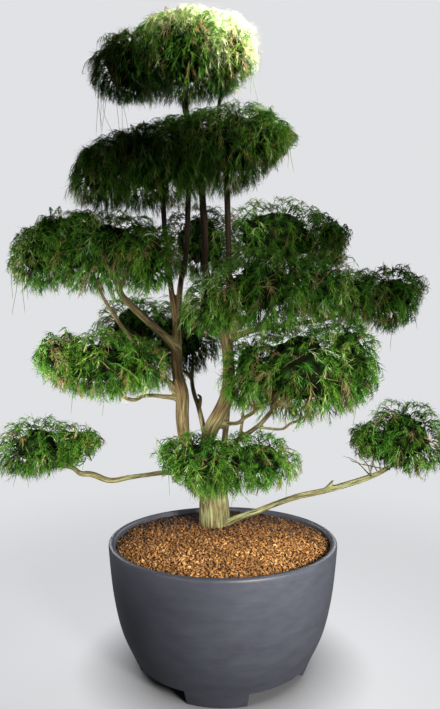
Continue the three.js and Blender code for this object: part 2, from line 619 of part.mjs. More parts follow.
// A pad: its lobes fused, with plain holes for the wood. taken holds the places of other pads' sprays
function makePad(name, taken, cutter) {
  const names = Object.keys(PADS);
  const lobes = lobesOf(PADS[name]);
  const others = names.filter((other) => other !== name).flatMap((other) => lobesOf(PADS[other]));
  const draw = seeded(FIRST_PAD_SEED + names.indexOf(name));
  const isFree = (samples) => samples.every((point) => clearOfWood(point)
    && others.every((lobe) => farFrom(lobe, point, GAP_TO_HEARTS) > 1)
    && taken.every((other) => other.distanceTo(point) > GAP_TO_PADS));
  const sprays = [];
  const leafy = lobes.map((lobe) => {
    const sisters = lobes.filter((other) => other !== lobe);
    return leafyLobe(lobe, sisters, draw, isFree, sprays);
  });
  taken.push(...sprays.flatMap(({ samples }) => samples));
  return largestPiece(leafy.reduce((pad, lobe) => pad.add(lobe)).subtract(cutter));
}

// The whole plant in its planter

const bonsai = new THREE.Group();
bonsai.name = 'filifera_nana_sawara_cypress_bonsai';
const wood = makeWood(0);
const woodHole = makeWood(CLEARANCE);
bonsai.add(namedMesh('pot', makePot(), FINISH.pot));
bonsai.add(namedMesh('potting_soil', largestPiece(makeSoil().subtract(woodHole)), FINISH.soil));
bonsai.add(namedMesh('bark_mulch', largestPiece(makeMulch().subtract(woodHole)), FINISH.mulch));
bonsai.add(namedMesh('trunk_and_branches', wood, FINISH.bark));

const taken = [];
for (const name of Object.keys(PADS)) {
  bonsai.add(namedMesh(name, makePad(name, taken, woodHole), FINISH.foliage));
}

export default bonsai;
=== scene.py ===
"""Filifera nana sawara cypress bonsai in a round footed planter, dressed for rendering.

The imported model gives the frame. Here each foliage pad becomes thousands of hanging thread-like shoots, the wood
one fused body of fibrous bark, the mulch a layer of loose bark granules, and the planter a smooth turned tub.
Sizes are in millimetres where they repeat the plant's own, and metres in every mesh.
"""

import itertools
import logging
import math
from dataclasses import dataclass, field
from enum import Enum, IntEnum

import bpy
import numpy as np
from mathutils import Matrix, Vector


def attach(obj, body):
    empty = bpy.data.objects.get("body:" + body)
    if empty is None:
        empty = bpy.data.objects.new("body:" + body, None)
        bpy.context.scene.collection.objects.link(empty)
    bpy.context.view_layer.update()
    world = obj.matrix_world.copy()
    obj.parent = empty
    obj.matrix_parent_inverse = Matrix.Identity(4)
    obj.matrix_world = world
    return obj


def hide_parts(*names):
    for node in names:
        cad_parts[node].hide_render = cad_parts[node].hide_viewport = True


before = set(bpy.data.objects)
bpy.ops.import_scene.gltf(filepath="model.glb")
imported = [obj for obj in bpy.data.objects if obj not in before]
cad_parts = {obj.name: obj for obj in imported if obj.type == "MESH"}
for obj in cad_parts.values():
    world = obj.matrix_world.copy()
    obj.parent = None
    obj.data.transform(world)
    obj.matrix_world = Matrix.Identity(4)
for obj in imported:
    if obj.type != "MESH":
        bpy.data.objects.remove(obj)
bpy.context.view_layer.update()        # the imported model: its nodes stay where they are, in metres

LOG = logging.getLogger("bonsai")
MM = 0.001
GOLDEN_ANGLE = math.pi * (3 - math.sqrt(5))
FULL_TURN = 2 * math.pi


# Meshes

@dataclass
class Surface:
    """Points, faces and point attributes of a piece while it is being made.

    Args:
        points: Corners as an (n, 3) array, in metres.
        faces: Arrays of corner numbers, (m, 3) or (m, 4) each.
        values: One array of n numbers, or of (n, 3), for each attribute.
    """

    points: np.ndarray
    faces: list[np.ndarray]
    values: dict[str, np.ndarray] = field(default_factory=dict)

    def with_values(self, **values: float | np.ndarray) -> "Surface":
        """Gives every point the named attributes, from arrays or from one number for all."""
        for name, value in values.items():
            self.values[name] = np.broadcast_to(value, len(self.points)).astype(float)
        return self


def joined(surfaces: list[Surface]) -> Surface:
    """Lays several surfaces side by side in one, without welding them.

    Args:
        surfaces: Surfaces with the same attributes.

    Returns:
        One surface that holds them all.
    """
    starts = np.cumsum([0] + [len(surface.points) for surface in surfaces[:-1]])
    faces = [block + start for surface, start in zip(surfaces, starts) for block in surface.faces]
    names = surfaces[0].values
    values = {name: np.concatenate([surface.values[name] for surface in surfaces]) for name in names}
    return Surface(np.concatenate([surface.points for surface in surfaces]), faces, values)


def new_object(name: str, surface: Surface, material: bpy.types.Material, smooth: bool) -> bpy.types.Object:
    """Puts a surface into a mesh object at the origin.

    Args:
        name: The piece's name.
        surface: What the mesh holds.
        material: Its finish.
        smooth: Whether shading is smooth across edges.

    Returns:
        The object, linked to the scene.
    """
    mesh = bpy.data.meshes.new(name)
    corners = np.concatenate([block.ravel() for block in surface.faces]).astype(np.int32)
    sizes = np.concatenate([np.full(len(block), block.shape[1]) for block in surface.faces])
    mesh.vertices.add(len(surface.points))
    mesh.vertices.foreach_set("co", surface.points.astype(np.float32).ravel())
    mesh.loops.add(len(corners))
    mesh.loops.foreach_set("vertex_index", corners)
    mesh.polygons.add(len(sizes))
    mesh.polygons.foreach_set("loop_start", np.concatenate([[0], np.cumsum(sizes)[:-1]]).astype(np.int32))
    mesh.polygons.foreach_set("use_smooth", np.full(len(sizes), smooth))
    for label, values in surface.values.items():
        add_attribute(mesh, label, values)
    mesh.update(calc_edges=True)
    mesh.validate()
    mesh.materials.append(material)
    piece = bpy.data.objects.new(name, mesh)
    bpy.context.scene.collection.objects.link(piece)
    return piece


def add_attribute(mesh: bpy.types.Mesh, name: str, values: np.ndarray) -> None:
    """Stores one number or one vector for each point of a mesh."""
    kind, key = ("FLOAT", "value") if values.ndim == 1 else ("FLOAT_VECTOR", "vector")
    mesh.attributes.new(name, kind, "POINT").data.foreach_set(key, values.astype(np.float32).ravel())


def unit(vectors: np.ndarray) -> np.ndarray:
    """Vectors scaled to length 1 along the last axis."""
    return vectors / np.maximum(np.linalg.norm(vectors, axis=-1, keepdims=True), 1e-12)


def even_directions(heights: np.ndarray, turns: np.ndarray) -> np.ndarray:
    """Unit vectors (n, 3) from their heights, -1 to 1, and their turns about Z."""
    flat = np.sqrt(np.maximum(0, 1 - heights**2))
    return np.stack([flat * np.cos(turns), flat * np.sin(turns), np.clip(heights, -1, 1)], axis=1)


def smooth_curve(stations: np.ndarray, step: float, places: int = 3) -> np.ndarray:
    """A smooth curve through stations.

    Each span is the cubic through its two ends whose slopes there are those of the stations on either side, taken
    over the distance along the stations.

    Args:
        stations: The points to pass, (k, d).
        step: The distance between the points returned.
        places: How many leading columns are coordinates; the rest, such as a radius, follow along.

    Returns:
        Points along the curve, (n, d), evenly spaced by the stations' own distance.
    """
    gaps = np.linalg.norm(np.diff(stations[:, :places], axis=0), axis=1)
    at = np.concatenate([[0], np.cumsum(gaps)])
    slopes = np.gradient(stations, at, axis=0)
    wanted = np.linspace(0, at[-1], max(2, int(round(at[-1] / step)) + 1))
    span = np.clip(np.searchsorted(at, wanted, side="right") - 1, 0, len(at) - 2)
    width = (at[span + 1] - at[span])[:, None]
    u = (wanted - at[span])[:, None] / width
    start = (2 * u**3 - 3 * u**2 + 1) * stations[span] + (u**3 - 2 * u**2 + u) * width * slopes[span]
    end = (3 * u**2 - 2 * u**3) * stations[span + 1] + (u**3 - u**2) * width * slopes[span + 1]
    return start + end


# Odd numbers that scatter the bits of a lattice point's place, so that each point has a number of its own
LATTICE_FACTORS = (73856093, 19349663, 83492791)
SEED_FACTOR = 2654435761
MIXING = ((15, 2246822519), (13, 3266489917))
WORD = 0xFFFFFFFF
HALF_WORD = 0xFFFF


def lattice_noise(at: np.ndarray, seed: int) -> np.ndarray:
    """Smooth noise from 0 to 1 at points given in cells of the noise.

    Each whole-number lattice point has a random number, and a point takes the blend of the eight round it, each
    weighted by the smoothstep of the fractions of the coordinates.

    Args:
        at: (n, 3).
        seed: Picks one of the endless different noises.

    Returns:
        n numbers.
    """
    cell = np.floor(at).astype(np.int64)
    share = at - cell
    share = share * share * (3 - 2 * share)
    total = np.zeros(len(at))
    for corner in itertools.product((0, 1), repeat=3):
        key = (cell + corner) * np.array(LATTICE_FACTORS)
        mixed = (key[:, 0] ^ key[:, 1] ^ key[:, 2] ^ (seed * SEED_FACTOR)) & WORD
        for shift, factor in MIXING:
            mixed = ((mixed ^ (mixed >> shift)) * factor) & WORD
        weight = np.prod(np.where(corner, share, 1 - share), axis=1)
        total += weight * ((mixed ^ (mixed >> 16)) & HALF_WORD) / HALF_WORD
    return total


def quads(grid: np.ndarray) -> np.ndarray:
    """The four-cornered faces between the rows and the columns of a grid of corner numbers."""
    return np.stack([grid[:-1, :-1], grid[:-1, 1:], grid[1:, 1:], grid[1:, :-1]], axis=-1).reshape(-1, 4)


def ring_grid(rings: np.ndarray) -> Surface:
    """A closed tube's surface from rings of corners, counterclockwise seen from the far end.

    Neighbouring rings are joined by four-cornered faces, and each end is closed by a fan round its middle.

    Args:
        rings: (k, m, 3) corners.

    Returns:
        The surface, facing out.
    """
    count, sides = rings.shape[:2]
    number = np.arange(count * sides).reshape(count, sides)
    closed = np.concatenate([number, number[:, :1]], axis=1)
    following = closed[:, 1:]
    low, high = count * sides, count * sides + 1
    fans = [
        np.stack([following[0], number[0], np.full(sides, low)], axis=-1),
        np.stack([number[-1], following[-1], np.full(sides, high)], axis=-1),
    ]
    points = np.concatenate([rings.reshape(-1, 3), rings[[0, -1]].mean(axis=1)])
    return Surface(points, [quads(closed), np.concatenate(fans)])


THREAD_SIDES = 3


def threads(routes: np.ndarray, radii: np.ndarray, across: np.ndarray) -> Surface:
    """Closed three-sided threads that end in a point.

    A thread's corners lie on circles round its route, a third of a turn apart, and the last station is its tip.

    Args:
        routes: Stations of n threads, (n, k, 3).
        radii: Their radii, (n, k); the last is not used.
        across: One vector for each thread, (n, 3), that is not along it.

    Returns:
        All threads as one surface. Points run thread by thread and ring by ring, with the tip last.
    """
    amount, stations = routes.shape[:2]
    tangents = unit(np.gradient(routes, axis=1))
    side = across[:, None, :] - tangents * (tangents * across[:, None, :]).sum(axis=-1, keepdims=True)
    side = unit(side)
    upper = np.cross(tangents, side)
    turns = np.arange(THREAD_SIDES) * FULL_TURN / THREAD_SIDES
    arms = side[:, :, None, :] * np.cos(turns)[:, None] + upper[:, :, None, :] * np.sin(turns)[:, None]
    rings = routes[:, :, None, :] + arms * radii[:, :, None, None]
    points = np.concatenate([rings[:, :-1].reshape(amount, -1, 3), routes[:, -1:]], axis=1)
    number = np.arange(THREAD_SIDES * (stations - 1)).reshape(stations - 1, THREAD_SIDES)
    following = np.roll(number, -1, axis=1)
    low, low_next = number[:-1].ravel(), following[:-1].ravel()
    high, high_next = number[1:].ravel(), following[1:].ravel()
    tip = np.full(THREAD_SIDES, number.size)
    pattern = np.concatenate([
        [[0, 2, 1]],
        np.stack([low, low_next, high], axis=-1),
        np.stack([low_next, high_next, high], axis=-1),
        np.stack([number[-1], following[-1], tip], axis=-1),
    ])
    faces = (np.arange(amount) * points.shape[1])[:, None, None] + pattern
    return Surface(points.reshape(-1, 3), [faces.reshape(-1, 3)])


def across_routes(routes: np.ndarray) -> np.ndarray:
    """A vector across each route (n, k, 3): its way from end to end, crossed with one that no twig follows."""
    return unit(np.cross(routes[:, -1] - routes[:, 0], (0.3, 0.2, 1.0)))


def along_threads(per_thread: np.ndarray, stations: int) -> np.ndarray:
    """Repeats one number for each thread over all its points."""
    return np.repeat(per_thread, THREAD_SIDES * (stations - 1) + 1)


def share_along(amount: int, stations: int) -> np.ndarray:
    """How far along its thread each point is, from 0 at the root to 1 at the tip."""
    shares = np.arange(stations) / (stations - 1)
    return np.tile(np.append(np.repeat(shares[:-1], THREAD_SIDES), 1.0), amount)


# Finishes

def linear(colour: str) -> tuple[float, float, float, float]:
    """The linear colour of an sRGB hex value such as "#4d4f57"."""
    channels = [int(colour[i:i + 2], 16) / 255 for i in (1, 3, 5)]
    return tuple(c / 12.92 if c <= 0.04045 else ((c + 0.055) / 1.055) ** 2.4 for c in channels) + (1.0,)


def per_metre(size_mm: float) -> float:
    """How many grains of a size in millimetres lie along a metre, which is a pattern's scale."""
    return 1 / (size_mm * MM)


def add_node(
    tree: bpy.types.NodeTree,
    kind: str,
    inputs: dict[str | int, object] | None = None,
    settings: dict[str, object] | None = None,
    stops: list[tuple[float, str]] | None = None,
) -> bpy.types.Node:
    """Adds one node.

    Args:
        tree: The node tree.
        kind: The node's type.
        inputs: Values or linked sockets by the input's name or number.
        settings: The node's own properties.
        stops: Places and sRGB colours of a colour ramp.

    Returns:
        The node.
    """
    node = tree.nodes.new(kind)
    for key, value in (settings or {}).items():
        setattr(node, key, value)
    for key, value in (inputs or {}).items():
        if isinstance(value, bpy.types.NodeSocket):
            tree.links.new(value, node.inputs[key])
        else:
            node.inputs[key].default_value = value
    if stops:
        elements = node.color_ramp.elements
        while len(elements) < len(stops):
            elements.new(0.5)
        for element, (place, colour) in zip(elements, stops):
            element.position = place
            element.color = linear(colour)
    return node


def new_material(name: str) -> tuple[bpy.types.Material, bpy.types.NodeTree]:
    """An empty node material and its tree."""
    material = bpy.data.materials.new(name)
    material.use_nodes = True
    material.node_tree.nodes.clear()
    return material, material.node_tree


def finish_material(
    tree: bpy.types.NodeTree,
    colour: bpy.types.NodeSocket,
    roughness: float | bpy.types.NodeSocket,
    bump: bpy.types.NodeSocket,
    bump_mm: float,
    **constants: float,
) -> None:
    """Adds the surface shader, its bump and the output.

    Args:
        tree: The material's tree.
        colour: The colour to show.
        roughness: One value or a socket.
        bump: Heights from 0 to 1.
        bump_mm: What a height of 1 stands for.
        constants: Other shader inputs, by their names with _ for spaces.
    """
    normal = add_node(tree, "ShaderNodeBump", {"Height": bump, "Distance": bump_mm * MM, "Strength": 1.0})
    inputs = {"Base Color": colour, "Roughness": roughness, "Normal": normal.outputs[0]}
    inputs.update({name.replace("_", " "): value for name, value in constants.items()})
    shader = add_node(tree, "ShaderNodeBsdfPrincipled", inputs)
    add_node(tree, "ShaderNodeOutputMaterial", {"Surface": shader.outputs[0]})


@dataclass(frozen=True)
class FibreClay:
    """Fibre clay, cast and coated charcoal: a soft satin sheen over faint clouds, level streaks and fine pits."""

    base: str = "#3e414b"
    cloud: str = "#434650"
    dark: str = "#393b45"
    streak: str = "#4a4d58"
    cloud_mm: float = 120.0
    cloud_flatness: float = 2.6
    streak_mm: float = 11.0
    streak_length_mm: float = 333.33
    streak_share: float = 0.35
    pit_mm: float = 3.5
    pit_depth_mm: float = 0.4
    roughness: float = 0.46
    roughness_varies: float = 0.07

    def material(self) -> bpy.types.Material:
        """The coated fibre clay of the planter."""
        material, tree = new_material("cast_fibre_clay")
        place = add_node(tree, "ShaderNodeTexCoord").outputs["Object"]
        level = add_node(tree, "ShaderNodeVectorMath", {0: place, 1: (1.0, 1.0, self.cloud_flatness)},
                         {"operation": "MULTIPLY"})
        clouds = add_node(tree, "ShaderNodeTexNoise", {
            "Vector": level.outputs[0], "Scale": per_metre(self.cloud_mm), "Detail": 4.0, "Roughness": 0.6})
        tone = add_node(tree, "ShaderNodeValToRGB", {"Fac": clouds.outputs[0]}, stops=[
            (0.3, self.dark), (0.5, self.base), (0.72, self.cloud)])
        stretch = (per_metre(self.streak_length_mm),) * 2 + (per_metre(self.streak_mm),)
        flat = add_node(tree, "ShaderNodeVectorMath", {0: place, 1: stretch}, {"operation": "MULTIPLY"})
        streaks = add_node(tree, "ShaderNodeTexNoise", {
            "Vector": flat.outputs[0], "Scale": 1.0, "Detail": 3.0, "Roughness": 0.6})
        streak_share = add_node(tree, "ShaderNodeMapRange", {
            "Value": streaks.outputs[0], "From Min": 0.5, "From Max": 0.85, "To Max": self.streak_share})
        toned = add_node(tree, "ShaderNodeMix", {
            "Factor": streak_share.outputs[0], 6: tone.outputs[0], 7: linear(self.streak)},
            {"data_type": "RGBA"})
        pits = add_node(tree, "ShaderNodeTexNoise", {
            "Vector": place, "Scale": per_metre(self.pit_mm), "Detail": 3.0})
        rough = add_node(tree, "ShaderNodeMapRange", {
            "Value": clouds.outputs[0], "To Min": self.roughness - self.roughness_varies,
            "To Max": self.roughness + self.roughness_varies})
        finish_material(tree, toned.outputs[2], rough.outputs[0], pits.outputs[0], self.pit_depth_mm,
                        IOR=1.5, Specular_IOR_Level=0.32)
        return material


@dataclass(frozen=True)
class ConiferBark:
    """Fibrous cypress bark, grown: long peeling strips, pale on their crests, green with algae low on the trunk,
    and near black higher up, which is painted shade under the pads.

    Heights are in metres above the floor.
    """

    furrow: str = "#2a1e14"
    strip: str = "#43341f"
    crest: str = "#6d5c3c"
    algae_dark: str = "#3e3c24"
    algae: str = "#868a62"
    upper_shade: str = "#150f0a"
    strip_mm: float = 9.0
    strip_length_mm: float = 130.0
    hair_mm: float = 3.2
    hair_length_mm: float = 52.0
    hair_share: float = 0.35
    relief_mm: float = 4.0
    algae_patch_mm: float = 111.11
    algae_heights: tuple[float, float] = (1.5, 0.8)
    algae_shares: tuple[float, float] = (0.15, 1.1)
    algae_on_limbs: float = 0.25
    upper_shade_heights: tuple[float, float] = (1.75, 2.25)
    upper_shade_share: float = 0.88

    def material(self) -> bpy.types.Material:
        """The bark of the trunk and branches. It reads where each point lies along and across its branch."""
        material, tree = new_material("fibrous_bark")
        place = add_node(tree, "ShaderNodeTexCoord").outputs["Object"]
        height = self.relief(tree)
        bark = add_node(tree, "ShaderNodeValToRGB", {"Fac": height}, stops=[
            (0.42, self.furrow), (0.62, self.strip), (0.86, self.crest)])
        olive = add_node(tree, "ShaderNodeValToRGB", {"Fac": height}, stops=[
            (0.42, self.furrow), (0.55, self.algae_dark), (0.8, self.algae)])
        patches = add_node(tree, "ShaderNodeTexNoise", {
            "Vector": place, "Scale": per_metre(self.algae_patch_mm), "Detail": 3.0})
        rise = add_node(tree, "ShaderNodeSeparateXYZ", {0: place}).outputs[2]
        lowness = add_node(tree, "ShaderNodeMapRange", {
            "Value": rise, "From Min": self.algae_heights[0], "From Max": self.algae_heights[1],
            "To Min": self.algae_shares[0], "To Max": self.algae_shares[1]})
        green = add_node(tree, "ShaderNodeMapRange", {
            "Value": patches.outputs[0], "From Min": 0.3, "From Max": 0.6})
        share = add_node(tree, "ShaderNodeMath", {0: green.outputs[0], 1: lowness.outputs[0]},
                         {"operation": "MULTIPLY"})
        limb = add_node(tree, "ShaderNodeAttribute", settings={"attribute_name": "limb"}).outputs["Fac"]
        grown_over = add_node(tree, "ShaderNodeMath", {0: limb, 1: self.algae_on_limbs, 2: share.outputs[0]},
                              {"operation": "MULTIPLY_ADD", "use_clamp": True})
        tinted = add_node(tree, "ShaderNodeMix", {
            "Factor": grown_over.outputs[0], 6: bark.outputs[0], 7: olive.outputs[0]}, {"data_type": "RGBA"})
        # Painted shade: above these heights the bark darkens to near black, for the shade the pads cast on the
        # upper stems.
        upper_shading = add_node(tree, "ShaderNodeMapRange", {
            "Value": rise, "From Min": self.upper_shade_heights[0], "From Max": self.upper_shade_heights[1],
            "To Min": 0.0, "To Max": self.upper_shade_share})
        shaded_bark = add_node(tree, "ShaderNodeMix", {
            "Factor": upper_shading.outputs[0], 6: tinted.outputs[2], 7: linear(self.upper_shade)}, {"data_type": "RGBA"})
        finish_material(tree, shaded_bark.outputs[2], 0.85, height, self.relief_mm, IOR=1.45, Specular_IOR_Level=0.2)
        return material

    def relief(self, tree: bpy.types.NodeTree) -> bpy.types.NodeSocket:
        """The bark's height: noise drawn out along the fibre for the strips, with finer hairs on it."""
        fibre = add_node(tree, "ShaderNodeAttribute", settings={"attribute_name": "fibre"}).outputs["Vector"]
        strip_scale = (per_metre(self.strip_mm),) * 2 + (per_metre(self.strip_length_mm),)
        strip_place = add_node(tree, "ShaderNodeVectorMath", {0: fibre, 1: strip_scale}, {"operation": "MULTIPLY"})
        strips = add_node(tree, "ShaderNodeTexNoise", {
            "Vector": strip_place.outputs[0], "Scale": 1.0, "Detail": 3.0, "Roughness": 0.6, "Distortion": 0.4})
        hair_scale = (per_metre(self.hair_mm),) * 2 + (per_metre(self.hair_length_mm),)
        hair_place = add_node(tree, "ShaderNodeVectorMath", {0: fibre, 1: hair_scale}, {"operation": "MULTIPLY"})
        hairs = add_node(tree, "ShaderNodeTexNoise", {"Vector": hair_place.outputs[0], "Scale": 1.0, "Detail": 2.0})
        height = add_node(tree, "ShaderNodeMath", {0: hairs.outputs[0], 1: self.hair_share, 2: strips.outputs[0]},
                          {"operation": "MULTIPLY_ADD"})
        return height.outputs[0]


@dataclass(frozen=True)
class BarkGranules:
    """Milled conifer bark: matt golden-brown flakes, each in its own tone, with pale broken faces."""

    tones: tuple[tuple[float, str], ...] = (
        (0.12, "#2a1a0e"), (0.34, "#60401f"), (0.58, "#8f6231"), (0.8, "#b68a52"), (1.0, "#dcbe8c"))
    grain_mm: float = 4.0
    grain_share: float = 0.24
    grain_depth_mm: float = 1.5

    def material(self) -> bpy.types.Material:
        """The bark granules of the mulch."""
        material, tree = new_material("milled_bark")
        tone = add_node(tree, "ShaderNodeAttribute", settings={"attribute_name": "tone"}).outputs["Fac"]
        place = add_node(tree, "ShaderNodeTexCoord").outputs["Object"]
        grain = add_node(tree, "ShaderNodeTexNoise", {
            "Vector": place, "Scale": per_metre(self.grain_mm), "Detail": 2.0})
        mixed = add_node(tree, "ShaderNodeMath", {0: grain.outputs[0], 1: self.grain_share, 2: tone},
                         {"operation": "MULTIPLY_ADD"})
        colour = add_node(tree, "ShaderNodeValToRGB", {"Fac": mixed.outputs[0]}, stops=list(self.tones))
        finish_material(tree, colour.outputs[0], 0.9, grain.outputs[0], self.grain_depth_mm, IOR=1.45)
        return material


@dataclass(frozen=True)
class DampSoil:
    """Damp potting soil, sieved and filled in loose: near black crumbs, matt."""

    dark: str = "#1b130d"
    crumb: str = "#3a2b1e"
    crumb_mm: float = 6.0
    crumb_depth_mm: float = 3.0

    def material(self) -> bpy.types.Material:
        """The potting soil under the mulch."""
        material, tree = new_material("potting_compost")
        place = add_node(tree, "ShaderNodeTexCoord").outputs["Object"]
        crumbs = add_node(tree, "ShaderNodeTexNoise", {
            "Vector": place, "Scale": per_metre(self.crumb_mm), "Detail": 4.0})
        colour = add_node(tree, "ShaderNodeValToRGB", {"Fac": crumbs.outputs[0]}, stops=[
            (0.35, self.dark), (0.65, self.crumb)])
        finish_material(tree, colour.outputs[0], 0.95, crumbs.outputs[0], self.crumb_depth_mm, IOR=1.4)
        return material


@dataclass(frozen=True)
class ThreadFoliage:
    """Scale leaves pressed flat on living thread-like shoots: deep green, yellow-green at the tips, tan where dead.

    The scales are drawn a little coarser than real ones, so that they show.
    """

    # The darkest stops are painted shade for the cores and deep shoots; the palest stop is partly the tips' own
    # fresh colour and partly a painted highlight for the lamp-bleached crown.
    greens: tuple[tuple[float, str], ...] = (
        (0.0, "#0b1205"), (0.28, "#17300c"), (0.55, "#37611b"), (0.85, "#64933a"), (1.0, "#d2d2bc"))
    tans: tuple[tuple[float, str], ...] = ((0.2, "#30261a"), (0.9, "#9c8c66"))
    cool_cast: str = "#d2f0d8"
    warm_cast: str = "#fff0c4"
    cast_share: float = 0.8
    fresher_at_tip: float = 0.45
    scale_mm: float = 5.0
    scale_share: float = 0.16
    scale_depth_mm: float = 0.4
    patch_mm: float = 130.0

    def material(self) -> bpy.types.Material:
        """The shoots of the pads. It reads each point's age along its thread, its tone and whether it is dead."""
        material, tree = new_material("scale_leaf_shoots")
        read = {name: add_node(tree, "ShaderNodeAttribute", settings={"attribute_name": name}).outputs["Fac"]
                for name in ("age", "tone", "dead")}
        place = add_node(tree, "ShaderNodeTexCoord").outputs["Object"]
        scales = add_node(tree, "ShaderNodeTexNoise", {
            "Vector": place, "Scale": per_metre(self.scale_mm), "Detail": 1.0})
        # The tone read here carries painted shade deep in the pads and painted light on the crown's lamp side.
        fresh = add_node(tree, "ShaderNodeMath", {0: read["age"], 1: self.fresher_at_tip, 2: read["tone"]},
                         {"operation": "MULTIPLY_ADD"})
        varied = add_node(tree, "ShaderNodeMath", {
            0: scales.outputs[0], 1: self.scale_share, 2: fresh.outputs[0]}, {"operation": "MULTIPLY_ADD"})
        green = add_node(tree, "ShaderNodeValToRGB", {"Fac": varied.outputs[0]}, stops=list(self.greens))
        tan = add_node(tree, "ShaderNodeValToRGB", {"Fac": varied.outputs[0]}, stops=list(self.tans))
        colour = add_node(tree, "ShaderNodeMix", {
            "Factor": read["dead"], 6: green.outputs[0], 7: tan.outputs[0]}, {"data_type": "RGBA"})
        patches = add_node(tree, "ShaderNodeTexNoise", {
            "Vector": place, "Scale": per_metre(self.patch_mm), "Detail": 2.0})
        warmth = add_node(tree, "ShaderNodeMapRange", {
            "Value": patches.outputs[0], "From Min": 0.38, "From Max": 0.64})
        cast = add_node(tree, "ShaderNodeMix", {
            "Factor": warmth.outputs[0], 6: linear(self.cool_cast), 7: linear(self.warm_cast)},
            {"data_type": "RGBA"})
        tinted = add_node(tree, "ShaderNodeMix", {
            "Factor": self.cast_share, 6: colour.outputs[2], 7: cast.outputs[2]},
            {"data_type": "RGBA", "blend_type": "MULTIPLY"})
        finish_material(tree, tinted.outputs[2], 0.85, scales.outputs[0], self.scale_depth_mm,
                        IOR=1.4, Specular_IOR_Level=0.1)
        return material


# Wood

class Growth(Enum):
    """What kind of wood a route is, with the sides of its tube."""

    STEM = 32
    LIMB = 16
    TWIG = 12


